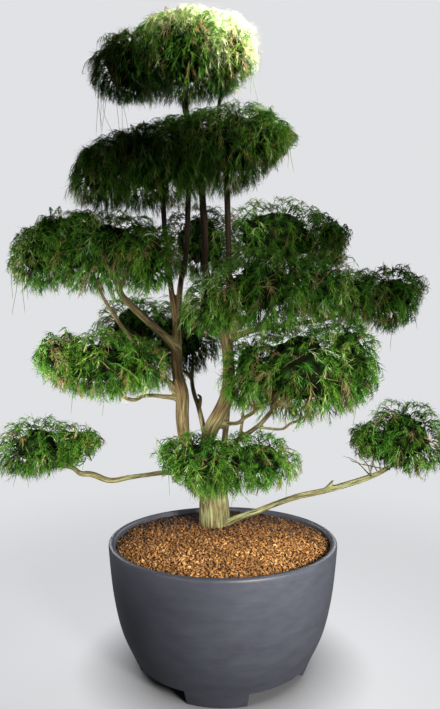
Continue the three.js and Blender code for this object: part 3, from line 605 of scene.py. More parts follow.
# Each route runs from the thick end to the thin one as (x, y, z, radius) in mm
ROUTES = {
    Growth.STEM: {
        "trunk": [(-45, 160, 450, 88), (-48, 160, 640, 92), (-50, 160, 720, 87), (-52, 160, 850, 83),
                  (-55, 160, 935, 80), (-55, 155, 1010, 66)],
        "left": [(-60, 155, 950, 52), (-130, 150, 1055, 46), (-195, 135, 1145, 38), (-220, 130, 1210, 35),
                 (-230, 120, 1300, 37), (-235, 110, 1475, 37), (-255, 105, 1555, 32), (-265, 100, 1685, 31),
                 (-265, 90, 1770, 29), (-260, 90, 1860, 23)],
        "left_outer": [(-265, 90, 1815, 19), (-280, 95, 1945, 17), (-310, 110, 2170, 17), (-335, 125, 2435, 15),
                       (-340, 125, 2535, 15), (-355, 110, 2675, 13), (-380, 90, 2770, 9)],
        "left_inner": [(-260, 90, 1830, 20), (-250, 105, 1950, 18), (-245, 125, 2060, 17), (-210, 150, 2280, 16),
                       (-200, 155, 2545, 16), (-190, 140, 2685, 13), (-155, 120, 2805, 10)],
        "right": [(-70, 155, 960, 52), (-95, 150, 1080, 44), (-90, 145, 1175, 39), (-60, 145, 1260, 43),
                  (-15, 140, 1340, 44), (20, 140, 1420, 43), (35, 135, 1505, 37), (35, 135, 1600, 33),
                  (30, 140, 1705, 33), (15, 140, 1800, 32), (0, 150, 1890, 29)],
        "right_strut": [(-40, 150, 985, 29), (-5, 150, 1085, 23), (10, 155, 1180, 19), (20, 155, 1280, 19),
                        (30, 150, 1385, 17)],
        "main": [(10, 145, 1845, 25), (-30, 155, 1965, 23), (-70, 165, 2055, 21), (-95, 170, 2160, 20),
                 (-105, 170, 2390, 22), (-120, 165, 2635, 22), (-130, 150, 2775, 20), (-160, 135, 2910, 19),
                 (-215, 115, 3100, 19), (-210, 105, 3195, 16), (-185, 100, 3310, 11), (-170, 100, 3420, 7)],
        "right_leader": [(5, 150, 1870, 23), (30, 175, 1995, 20), (35, 215, 2295, 19), (30, 220, 2470, 20),
                         (20, 200, 2730, 19), (0, 180, 2880, 15), (-20, 145, 3125, 12), (0, 130, 3220, 9),
                         (40, 120, 3320, 6)],
    },
    Growth.LIMB: {
        "upper_left": [(-265, 95, 1720, 26), (-315, 60, 1770, 24), (-390, 0, 1840, 22), (-495, -100, 1945, 20),
                       (-535, -135, 1990, 18), (-555, -160, 2050, 16), (-620, -185, 2125, 14),
                       (-715, -200, 2185, 10), (-830, -205, 2215, 6)],
        "long_left": [(-270, 110, 1470, 18), (-305, 60, 1525, 16), (-395, -60, 1615, 14), (-445, -115, 1690, 12),
                      (-485, -150, 1760, 12), (-570, -190, 1885, 11), (-630, -205, 1995, 9),
                      (-665, -205, 2080, 7), (-720, -200, 2135, 5)],
        "lower_left": [(-265, 110, 1430, 15), (-325, 60, 1440, 13), (-435, -60, 1450, 11), (-470, -110, 1435, 11),
                       (-515, -150, 1450, 11), (-555, -185, 1500, 10), (-620, -210, 1560, 8),
                       (-735, -225, 1605, 5)],
        "middle": [(-90, 150, 1185, 20), (-105, 170, 1225, 16), (-125, 205, 1300, 15), (-145, 240, 1370, 15),
                   (-170, 270, 1440, 14), (-185, 300, 1510, 14), (-185, 340, 1580, 13), (-185, 390, 1655, 11),
                   (-205, 430, 1735, 8)],
        "diagonal": [(-35, 150, 1000, 29), (30, 140, 1110, 20), (100, 100, 1200, 15), (165, 55, 1250, 15),
                     (205, 10, 1290, 14), (240, -50, 1340, 14), (260, -105, 1375, 12), (325, -220, 1450, 10),
                     (410, -330, 1510, 6)],
        "right_shoulder": [(-5, 140, 1275, 17), (40, 90, 1285, 13), (85, 40, 1295, 12), (120, -20, 1330, 12),
                           (160, -90, 1365, 12), (205, -170, 1415, 10), (270, -260, 1475, 8),
                           (340, -340, 1525, 5)],
        "far_left": [(-75, 150, 915, 27), (-190, 140, 975, 19), (-330, 120, 1000, 15), (-425, 110, 990, 14),
                     (-525, 90, 980, 15), (-635, 75, 965, 16), (-750, 60, 1005, 17), (-800, 50, 1010, 15),
                     (-835, 45, 1040, 13), (-900, 40, 1055, 12), (-985, 30, 1070, 10), (-1060, 20, 1110, 6)],
        "far_right": [(-20, 150, 655, 24), (30, 130, 710, 21), (85, 110, 745, 19), (190, 90, 785, 17),
                      (280, 75, 825, 16), (420, 50, 880, 18), (555, 30, 915, 17), (695, 10, 960, 17),
                      (775, -5, 990, 16), (885, -15, 1040, 13), (960, -20, 1095, 11), (1030, -15, 1160, 6)],
        "mid_right": [(25, 140, 1795, 24), (75, 90, 1825, 19), (125, -20, 1875, 15), (175, -150, 1925, 12),
                      (215, -290, 1965, 9), (275, -380, 1990, 5)],
        "outer_right": [(30, 140, 1760, 22), (155, 130, 1810, 17), (325, 110, 1840, 15), (480, 90, 1860, 14),
                        (615, 75, 1885, 12), (725, 70, 1920, 10), (825, 65, 1960, 8), (920, 60, 1990, 5)],
        "rear_right": [(35, 210, 2220, 16), (80, 290, 2295, 14), (180, 380, 2355, 12), (340, 450, 2400, 9),
                       (525, 485, 2420, 6)],
        "rear_left": [(-100, 170, 2275, 15), (-125, 270, 2315, 13), (-155, 370, 2345, 10), (-205, 450, 2375, 6)],
    },
    Growth.TWIG: {
        "upper_left_fork": [(-545, -150, 2025, 14), (-485, -170, 2120, 11), (-405, -160, 2185, 7)],
        "lower_left_fork": [(-395, -60, 1615, 10), (-425, -120, 1615, 9), (-470, -190, 1615, 6)],
        "middle_fork": [(-185, 305, 1530, 12), (-230, 335, 1570, 11), (-340, 395, 1630, 9), (-370, 420, 1680, 8),
                        (-470, 450, 1805, 5)],
        "hook_stub": [(-140, 235, 1355, 10), (-130, 240, 1400, 9), (-130, 240, 1425, 9), (-150, 240, 1440, 7)],
        "right_twin": [(95, 100, 1190, 11), (105, 90, 1250, 10), (110, 70, 1305, 10), (115, 30, 1375, 9),
                       (105, -60, 1445, 8), (120, -200, 1505, 5)],
        "diagonal_fork": [(200, 10, 1275, 9), (245, 0, 1270, 9), (335, -40, 1275, 9), (360, -65, 1300, 9),
                          (405, -105, 1325, 9), (460, -190, 1385, 8), (520, -280, 1460, 6),
                          (585, -350, 1530, 4)],
        "front_left": [(-65, 110, 935, 23), (-105, 10, 995, 16), (-150, -110, 1060, 11), (-210, -210, 1120, 6)],
        "front_right": [(-45, 110, 950, 23), (25, 10, 1005, 16), (110, -110, 1075, 11), (220, -200, 1130, 6)],
        "far_left_fork": [(-845, 45, 1045, 10), (-875, 30, 1095, 8), (-910, 0, 1140, 5)],
        "far_right_stub": [(565, 25, 915, 11), (590, 20, 950, 9), (615, 20, 980, 6)],
        "mid_right_fork": [(145, -75, 1900, 11), (80, -200, 1930, 8), (5, -310, 1930, 4)],
    },
}


class Branch:
    """One route of wood: its smoothed middle line, radii and the directions across it."""

    STEP = 14 * MM
    THINNEST = 6.5 * MM
    COLLAR_SWELL = 0.32
    COLLAR_LENGTH = 38 * MM

    def __init__(self, stations: list[tuple[float, ...]], growth: Growth) -> None:
        """Smooths the stations.

        Where a limb or twig leaves its parent it swells to a collar, which fades with the distance.

        Args:
            stations: (x, y, z, radius) in mm from the thick end.
            growth: Its kind, which sets the sides of its tube.
        """
        curve = smooth_curve(np.array(stations, float) * MM, self.STEP)
        self.line = curve[:, :3]
        self.tangents = unit(np.gradient(self.line, axis=0))
        gaps = np.linalg.norm(np.diff(self.line, axis=0), axis=1)
        self.at = np.concatenate([[0], np.cumsum(gaps)])
        collar = self.COLLAR_SWELL * np.exp(-self.at / self.COLLAR_LENGTH) if growth is not Growth.STEM else 0.0
        self.radii = np.maximum(curve[:, 3], self.THINNEST) * (1 + collar)
        reference = np.eye(3)[np.abs(self.tangents).max(axis=0).argmin()]
        self.side = unit(np.cross(self.tangents, reference))
        self.upper = np.cross(self.tangents, self.side)
        self.growth = growth

    def tube(self) -> Surface:
        """Its surface: a circle of each station's radius, carried along the line."""
        sides = self.growth.value
        turns = np.arange(sides) * FULL_TURN / sides
        arms = self.side[:, None] * np.cos(turns)[:, None] + self.upper[:, None] * np.sin(turns)[:, None]
        return ring_grid(self.line[:, None] + arms * self.radii[:, None, None])

    def nearest(self, points: np.ndarray) -> tuple[np.ndarray, np.ndarray]:
        """Finds each point's nearest station.

        Args:
            points: (n, 3).

        Returns:
            The station's number and its distance less the radius there.
        """
        squares = ((points**2).sum(axis=1)[:, None] + (self.line**2).sum(axis=1)
                   - 2 * points @ self.line.T)
        distance = np.sqrt(np.maximum(squares, 0))
        station = distance.argmin(axis=1)
        row = np.arange(len(points))
        return station, distance[row, station] - self.radii[station]


@dataclass
class Wood:
    """The trunk and branches, which grew as one piece."""

    voxel: float = 7.4 * MM
    relax_factor: float = 0.5
    relax_rounds: int = 3
    ridge_cell: tuple[float, float, float] = (15 * MM, 15 * MM, 170 * MM)
    ridge_share: float = 0.085
    ridge_seed: int = 3
    lump_cell: float = 95 * MM
    lump_share: float = 0.14
    lump_seed: int = 5
    branches: list[Branch] = field(default_factory=list)

    def __post_init__(self) -> None:
        """Makes a branch from each route."""
        self.branches = [Branch(stations, growth) for growth, routes in ROUTES.items()
                         for stations in routes.values()]

    def clearance(self, points: np.ndarray) -> np.ndarray:
        """How far each point is from the nearest bark, below 0 inside the wood.

        Args:
            points: (n, 3).

        Returns:
            n distances in metres.
        """
        nearest = np.full(len(points), np.inf)
        for branch in self.branches:
            nearest = np.minimum(nearest, branch.nearest(points)[1])
        return nearest

    def fibre_places(self, points: np.ndarray) -> tuple[np.ndarray, np.ndarray, np.ndarray]:
        """Where points lie on their branch as if it were straight.

        Args:
            points: (n, 3).

        Returns:
            (n, 3) of the two offsets across the branch and the way along it, the branch's radius there, and
            1 on a limb or twig, 0 on a stem.
        """
        best = np.full(len(points), np.inf)
        places = np.zeros((len(points), 3))
        radii, limb = np.zeros(len(points)), np.zeros(len(points))
        for number, branch in enumerate(self.branches):
            station, gap = branch.nearest(points)
            nearer = gap < best
            offset = points - branch.line[station]
            own = np.stack([(offset * branch.side[station]).sum(axis=1),
                            (offset * branch.upper[station]).sum(axis=1),
                            branch.at[station] + (offset * branch.tangents[station]).sum(axis=1) + number], axis=1)
            places[nearer] = own[nearer]
            radii[nearer] = branch.radii[station][nearer]
            limb[nearer] = branch.growth is not Growth.STEM
            best[nearer] = gap[nearer]
        return places, radii, limb

    def fused(self, finish: bpy.types.Material) -> bpy.types.Mesh:
        """Grows the branches' tubes together by a voxel remesh and relaxes them.

        Args:
            finish: The bark material.

        Returns:
            One closed mesh.
        """
        rough = new_object("rough_wood", joined([branch.tube() for branch in self.branches]), finish, True)
        remesh = rough.modifiers.new("fuse", "REMESH")
        remesh.mode = "VOXEL"
        remesh.voxel_size = self.voxel
        relax = rough.modifiers.new("relax", "SMOOTH")
        relax.factor = self.relax_factor
        relax.iterations = self.relax_rounds
        mesh = bpy.data.meshes.new_from_object(rough.evaluated_get(bpy.context.evaluated_depsgraph_get()))
        bpy.data.objects.remove(rough)
        return mesh

    def build(self, finish: bpy.types.Material) -> bpy.types.Object:
        """Fuses the branches and raises the bark.

        The bark's height is noise over the straightened branch, long along it and short across, less its middle,
        times a share of the branch's radius; wider lumps are added in the same way.

        Args:
            finish: The bark material.

        Returns:
            The piece.
        """
        mesh = self.fused(finish)
        points, normals = (np.zeros(len(mesh.vertices) * 3, np.float32) for _ in range(2))
        mesh.vertices.foreach_get("co", points)
        mesh.vertices.foreach_get("normal", normals)
        points, normals = points.reshape(-1, 3).astype(float), normals.reshape(-1, 3).astype(float)
        places, radii, limb = self.fibre_places(points)
        ridges = lattice_noise(places / np.array(self.ridge_cell), self.ridge_seed) - 0.5
        lumps = lattice_noise(points / self.lump_cell, self.lump_seed) - 0.5
        height = radii * (2 * self.ridge_share * ridges + self.lump_share * lumps)
        points += normals * height[:, None]
        mesh.vertices.foreach_set("co", points.astype(np.float32).ravel())
        add_attribute(mesh, "fibre", places)
        add_attribute(mesh, "limb", limb)
        mesh.polygons.foreach_set("use_smooth", np.ones(len(mesh.polygons), bool))
        mesh.materials.clear()
        mesh.materials.append(finish)
        mesh.update()
        mesh.name = "bark_wood"
        piece = bpy.data.objects.new("bark_wood", mesh)
        bpy.context.scene.collection.objects.link(piece)
        return piece


# Foliage

@dataclass(frozen=True)
class Lobe:
    """One round part of a pad: its middle and half sizes in metres."""

    centre: np.ndarray
    half: np.ndarray

    HEART = 0.8
    SKIN_POWER = 0.74

    @property
    def heart(self) -> np.ndarray:
        """Half sizes of the ellipsoid that the sprays stand on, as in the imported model."""
        return self.half * self.HEART

    @property
    def skin(self) -> float:
        """A measure of its surface, from the products of its half sizes; the power favours small lobes."""
        x, y, z = self.half
        return float((x * y + x * z + y * z) ** self.SKIN_POWER)

    def depth(self, points: np.ndarray) -> np.ndarray:
        """How far out points are, 1 being the heart's surface."""
        return np.linalg.norm((points - self.centre) / self.heart, axis=-1)


# Lobes of each pad as (x, y, z, half width, half depth, half height) in mm
PADS = {
    "crown": [(-200, 100, 3385, 330, 400, 265), (-535, 80, 3310, 240, 330, 225), (45, 120, 3375, 170, 290, 205),
              (-265, 100, 3505, 205, 240, 160)],
    "second_tier": [(-430, 70, 2760, 405, 450, 235), (65, 110, 2870, 365, 430, 245),
                    (-690, 50, 2690, 190, 290, 170), (325, 100, 2935, 150, 250, 150),
                    (-185, 60, 2835, 225, 330, 215)],
    "upper_left": [(-615, -200, 2220, 360, 330, 210), (-940, -190, 2210, 185, 260, 185),
                   (-820, -180, 2335, 200, 230, 115), (-380, -160, 2195, 145, 230, 175)],
    "lower_left": [(-640, -220, 1610, 300, 290, 175), (-860, -220, 1660, 135, 210, 135),
                   (-420, -200, 1610, 125, 200, 125)],
    "rear_left": [(-560, 460, 1830, 260, 270, 220), (-250, 470, 1795, 255, 280, 250)],
    "rear_upper": [(340, 475, 2395, 470, 270, 215), (-140, 465, 2365, 290, 260, 210),
                   (705, 465, 2405, 185, 210, 175)],
    "upper_right": [(185, -420, 1995, 285, 300, 200), (460, -390, 2015, 165, 240, 165),
                    (-45, -380, 1930, 130, 200, 140)],
    "far_upper_right": [(950, 60, 2005, 235, 260, 185), (730, 70, 2015, 160, 220, 160)],
    "mid_right": [(365, -430, 1585, 325, 320, 200), (600, -400, 1620, 180, 260, 185),
                  (130, -370, 1570, 135, 200, 145)],
    "front_low": [(-150, -230, 1115, 265, 220, 145), (170, -220, 1125, 265, 220, 135)],
    "far_left": [(-1030, 30, 1145, 230, 250, 150), (-785, 40, 1155, 150, 190, 125)],
    "far_right": [(1000, 0, 1195, 245, 260, 195), (770, 10, 1150, 145, 200, 120)],
}

# Clipped edges of the pads as the photo's camera sees them, laid on the plane through the middle of a pad's first
# lobe: (x, z) to (x, z) in mm, clockwise round the pad
PRUNED = {
    "crown": [((-840, 3290), (-750, 3385)), ((-745, 3380), (-655, 3500)), ((-655, 3502), (-345, 3620)),
              ((-345, 3662), (-30, 3662)), ((-10, 3665), (142, 3595)), ((142, 3595), (208, 3490)),
              ((208, 3490), (238, 3350)), ((228, 3345), (10, 3105)), ((0, 3095), (-550, 3080)),
              ((-555, 3080), (-690, 3120)), ((-690, 3120), (-790, 3200)), ((-790, 3200), (-842, 3290))],
    "second_tier": [((-880, 2640), (-830, 2795)), ((-830, 2795), (-765, 2880)), ((-765, 2862), (-500, 2970)),
                    ((-500, 2988), (20, 3105)), ((20, 3112), (200, 3128)), ((200, 3130), (295, 3075)),
                    ((290, 3055), (440, 2905)), ((440, 2900), (365, 2790)), ((365, 2790), (190, 2640))],
    "upper_left": [((-1120, 2100), (-1115, 2235)), ((-1112, 2240), (-985, 2368)), ((-985, 2368), (-850, 2432)),
                   ((-850, 2425), (-500, 2445))],
    "lower_left": [((-760, 1462), (-915, 1530)), ((-915, 1530), (-980, 1605)), ((-983, 1610), (-990, 1690)),
                   ((-972, 1700), (-925, 1770)), ((-925, 1775), (-830, 1805))],
    "rear_upper": [((640, 2580), (770, 2495)), ((770, 2495), (815, 2430)), ((815, 2425), (750, 2265))],
    "far_upper_right": [((1090, 2155), (1155, 2070)), ((1158, 2065), (1133, 1970)), ((1133, 1970), (1015, 1840))],
    "mid_right": [((700, 1810), (742, 1725)), ((742, 1720), (742, 1520)), ((740, 1520), (630, 1380))],
    "front_low": [((310, 1265), (402, 1215)), ((405, 1210), (405, 1045)), ((395, 1035), (200, 955)),
                  ((-180, 948), (-315, 1085)), ((-315, 1085), (-390, 1175)), ((-392, 1180), (-388, 1245))],
    "far_left": [((-760, 1290), (-700, 1262)), ((-700, 1262), (-650, 1172)), ((-650, 1172), (-880, 1030))],
    "far_right": [((950, 1025), (840, 1065)), ((840, 1065), (705, 1150)), ((700, 1150), (688, 1205)),
                  ((688, 1215), (760, 1335))],
}

# Dry patches of the pads as (x, y, z, reach) in mm
DRY = {
    "mid_right": [(390, -560, 1437, 190), (240, -560, 1500, 110)],
    "upper_right": [(30, -520, 1960, 110)],
    "far_upper_right": [(783, 20, 1837, 130)],
    "lower_left": [(-700, -330, 1520, 130)],
    "crown": [(-120, 0, 3330, 150)],
    "upper_left": [(-520, -330, 2130, 120)],
}

# Long single threads as (x, y, z of the root, length) in mm
TRAILING = {
    "crown": [(-700, 60, 3185, 250), (-688, 20, 3175, 300), (-668, -20, 3160, 270), (-645, 40, 3150, 310),
              (-620, -60, 3140, 270), (-598, 0, 3130, 290), (-570, 50, 3120, 210), (-545, -40, 3120, 230),
              (172, 60, 3310, 230), (150, 20, 3285, 180)],
    "second_tier": [(-830, 0, 2680, 150), (-805, 40, 2660, 190), (380, 60, 2860, 170), (360, 20, 2830, 130)],
    "upper_left": [(-1075, -240, 2110, 160), (-1052, -260, 2100, 240), (-1030, -220, 2085, 200),
                   (-1000, -250, 2080, 130), (-940, -280, 2075, 120)],
    "mid_right": [(700, -430, 1700, 270), (705, -400, 1640, 160), (620, -480, 1450, 120)],
    "far_upper_right": [(935, 40, 1880, 190), (1085, 60, 1965, 150)],
    "front_low": [(-275, -300, 1095, 130), (320, -300, 1040, 110), (-60, -230, 1010, 100), (-35, -240, 1000, 80),
                  (-10, -235, 1005, 110), (15, -225, 1000, 90), (40, -240, 1000, 115), (70, -235, 1000, 85)],
    "far_left": [(-1080, 20, 1050, 120)],
    "lower_left": [(-760, -260, 1500, 130), (-600, -280, 1470, 110)],
}

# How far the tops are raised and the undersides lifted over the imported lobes, in mm
FLUFF = {
    "rear_upper": (65, 0), "rear_left": (25, 0), "mid_right": (75, -18), "front_low": (20, 12),
    "far_left": (35, 25), "far_right": (45, 25), "lower_left": (25, 30), "upper_left": (15, -10),
    "second_tier": (18, -8),
}

# No main thread goes past these (x, y, z) in mm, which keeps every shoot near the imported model's box
REACH = ((-1240, -735, 0), (1240, 745, 3660))

# How much lighter a pad's shoots are painted on the side its lamp lights: painted light
LAMP_SIDE_LIGHT = {"crown": 0.4}

# Where the photo was taken from, in metres
EYE = (-0.0155, -3.175, 1.677)


@dataclass(frozen=True)
class ShootHabit:
    """How shoots grow: they leave outwards, arch over and hang, and lie over on top of a pad."""

    length: tuple[float, float] = (72 * MM, 170 * MM)
    stations: int = 4
    radius: float = 1.7 * MM
    inner_radius: float = 3.0 * MM
    tip_radius: float = 1.0 * MM
    side_lift: float = 0.3
    top_lift: float = 0.8
    under_lift: float = 1.2
    top_lean: float = 0.75
    side_slowing: float = 0.5
    top_slowing: float = 0.2
    side_droop: float = 0.72
    top_droop: float = 0.5
    under_shorter: float = 0.45
    droop_power: float = 2.2
    curl: float = 0.3
    sway: float = 1.0
    sway_everywhere: float = 0.3
    uneven_lift: float = 0.22
    side_threads: int = 12
    side_shift: float = 0.8
    side_scatter: float = 0.05
    side_limits: tuple[float, float] = (0.04, 0.99)
    side_length: tuple[float, float] = (26 * MM, 76 * MM)
    side_length_varies: tuple[float, float] = (0.6, 1.15)
    side_angle: float = math.radians(36)
    side_angle_varies: tuple[float, float] = (0.6, 1.25)
    side_turn: float = 0.8
    side_radius: float = 1.6 * MM
    side_hang: float = 0.3

    def routes(self, roots: np.ndarray, normals: np.ndarray, vigour: np.ndarray, parting: np.ndarray,
               rng: np.random.Generator) -> tuple[np.ndarray, np.ndarray]:
        """Lays the main threads.

        The way out is the facing direction, raised by the lift. Along a share s the thread has gone length times
        s times (1 - slowing s) that way, has dropped droop times length times s to the droop power, and has
        curled sideways by s squared.

        Args:
            roots: Where they leave the heart, (n, 3).
            normals: The heart's directions out there, (n, 3).
            vigour: A factor on each one's length.
            parting: An angle added to each one's facing direction.
            rng: The pad's random stream.

        Returns:
            Stations (n, k, 3), and the level direction across each thread, (n, 3).
        """
        amount = len(roots)
        up = normals[:, 2]
        top, under = np.maximum(up, 0), np.maximum(-up, 0)
        level = np.hypot(normals[:, 0], normals[:, 1])
        sway = self.sway * rng.uniform(-1, 1, amount) * (self.sway_everywhere + np.abs(up))
        facing = np.arctan2(normals[:, 1], normals[:, 0]) + parting + sway
        reach = np.where(up > 0, np.maximum(level, self.top_lean), level)
        lift = self.side_lift + np.where(up > 0, self.top_lift, self.under_lift) * up
        lift = lift + rng.normal(0, self.uneven_lift, amount)
        out = unit(np.stack([reach * np.cos(facing), reach * np.sin(facing), lift], axis=1))
        slowing = self.side_slowing + (self.top_slowing - self.side_slowing) * top
        droop = (self.side_droop + (self.top_droop - self.side_droop) * top) * (1 - self.under_shorter * under)
        length = rng.uniform(*self.length, amount) * vigour * (1 - self.under_shorter * under)
        across = np.stack([-np.sin(facing), np.cos(facing), np.zeros(amount)], axis=1)
        s = np.linspace(0, 1, self.stations)[None, :, None]
        length, slowing, droop = (part[:, None, None] for part in (length, slowing, droop))
        curl = rng.normal(0, self.curl, amount)[:, None, None]
        gone = out[:, None] * length * s * (1 - slowing * s)
        hung = np.array([0, 0, 1.0]) * droop * length * s**self.droop_power
        return roots[:, None] + gone - hung + across[:, None] * curl * length * s**2, across

    def side_routes(self, mains: np.ndarray, across: np.ndarray, rng: np.random.Generator
                    ) -> tuple[np.ndarray, np.ndarray, np.ndarray]:
        """Lays the side threads of each main thread.

        They leave alternately left and right, at an angle to it, shorter towards its tip, and hang a little.

        Args:
            mains: Stations of the main threads, (n, k, 3).
            across: The level direction across each, (n, 3).
            rng: The pad's random stream.

        Returns:
            Stations (n * side threads, 2, 3), a vector across each, and where along the main thread it leaves.
        """
        amount, stations = mains.shape[:2]
        count = self.side_threads
        scatter = rng.uniform(-self.side_scatter, self.side_scatter, (amount, count))
        share = np.clip((np.arange(count) + self.side_shift)[None] / count + scatter, *self.side_limits)
        place = share * (stations - 1)
        before = np.minimum(place.astype(int), stations - 2)
        rest = (place - before)[..., None]
        row = np.arange(amount)[:, None]
        low, high = mains[row, before], mains[row, before + 1]
        root = low + (high - low) * rest
        tangent = unit(high - low)
        hand = np.where((np.arange(count) % 2)[None] == 0, 1.0, -1.0)[..., None]
        turned = rng.normal(0, self.side_turn, (amount, count))[..., None]
        upper = np.cross(tangent, across[:, None])
        sideways = across[:, None] * hand * np.cos(turned) + upper * np.sin(turned)
        angle = self.side_angle * rng.uniform(*self.side_angle_varies, (amount, count))[..., None]
        way = tangent * np.cos(angle) + sideways * np.sin(angle)
        short, long = self.side_length
        length = (long + (short - long) * share) * rng.uniform(*self.side_length_varies, (amount, count))
        tip = root + way * length[..., None]
        tip[..., 2] -= self.side_hang * length
        routes = np.stack([root, tip], axis=2).reshape(-1, 2, 3)
        return routes, np.cross(way, upper).reshape(-1, 3), share.ravel()


# The two top tiers hang more than they arch, on finer and longer threads, and are fuller
HANGING = ShootHabit(length=(80 * MM, 190 * MM), top_lift=0.35, side_angle=math.radians(24), curl=0.2,
                     radius=1.5 * MM, inner_radius=2.6 * MM, side_radius=1.2 * MM,
                     side_length=(42 * MM, 105 * MM), side_hang=0.12)
HANGING_PADS = ("crown", "second_tier")
HANGING_FULLER = 1.15

# Main threads laid out over all the pads, before those that don't find open air are left out
ALL_SPRAYS = 11300


@dataclass(frozen=True)
class DryTwigs:
    """Bare twigs, dry and pale, that wander just under the shoots of a lobe."""

    per_lobe: int = 20
    stations: int = 7
    step: float = 24 * MM
    radius: float = 1.6 * MM
    heights: tuple[float, float] = (-0.95, 0.75)
    depths: tuple[float, float] = (0.78, 1.0)
    along_skin: float = 0.85
    turning: float = 0.3
    tones: tuple[float, float] = (0.25, 0.9)

    def routes(self, lobe: Lobe, rng: np.random.Generator) -> np.ndarray:
        """Lays the twigs of a lobe: each starts under the skin and adds even steps, turned a little from the last.

        Args:
            lobe: The lobe.
            rng: The pad's random stream.

        Returns:
            Stations (n, k, 3).
        """
        height = rng.uniform(*self.heights, self.per_lobe)
        way = even_directions(height, rng.uniform(0, FULL_TURN, self.per_lobe))
        start = lobe.centre + way * lobe.heart * rng.uniform(*self.depths, self.per_lobe)[:, None]
        heading = unit(rng.normal(0, 1, (self.per_lobe, 3)))
        heading = unit(heading - self.along_skin * way * (heading * way).sum(axis=1, keepdims=True))
        turns = np.cumsum(rng.normal(0, self.turning, (self.per_lobe, self.stations, 3)), axis=1)
        steps = unit(heading[:, None] + turns) * self.step
        steps[:, 0] = 0
        return start[:, None] + np.cumsum(steps, axis=1)

    def surface(self, routes: np.ndarray, rng: np.random.Generator) -> Surface:
        """The twigs' threads, which taper to half their radius."""
        radii = np.tile(np.linspace(self.radius, 0.5 * self.radius, self.stations), (len(routes), 1))
        tone = along_threads(rng.uniform(*self.tones, len(routes)), self.stations)
        return threads(routes, radii, across_routes(routes)).with_values(age=0.0, tone=tone, dead=1.0)


@dataclass(frozen=True)
class TrailingThreads:
    """Long single threads that hang from a pad."""

    stations: int = 8
    sway: float = 0.07
    wave: float = 0.04
    waves: float = 5.0
    radius: float = 1.5 * MM
    tip_radius: float = 0.9 * MM
    age: float = 0.4
    tone: float = 0.35

    def surface(self, rows: np.ndarray, rng: np.random.Generator) -> Surface:
        """The threads: each drops from its root and swings sideways, by a slant and a sine of its share.

        Args:
            rows: (x, y, z of the root, length) in metres.
            rng: The pad's random stream.

        Returns:
            All threads as one surface.
        """
        amount = len(rows)
        s = np.linspace(0, 1, self.stations)[None, :, None]
        length = rows[:, 3, None, None]
        slant = rng.normal(0, self.sway, (amount, 1, 3)) * s
        swing = slant + rng.normal(0, self.wave, (amount, 1, 3)) * np.sin(self.waves * s)
        routes = rows[:, None, :3] + length * s * np.array([0, 0, -1.0]) + swing * length * (1, 1, 0)
        radii = np.tile(np.linspace(self.radius, self.tip_radius, self.stations), (amount, 1))
        across = np.tile((1.0, 0.0, 0.0), (amount, 1))
        return threads(routes, radii, across).with_values(age=self.age, tone=self.tone, dead=0.0)


class Pattern(IntEnum):
    """The clump patterns of a pad, each by what it is added to the pad's seed."""

    DEPTH = 0
    PARTING = 20
    TONE = 40
    PRUNING = 60
    DRYING = 80


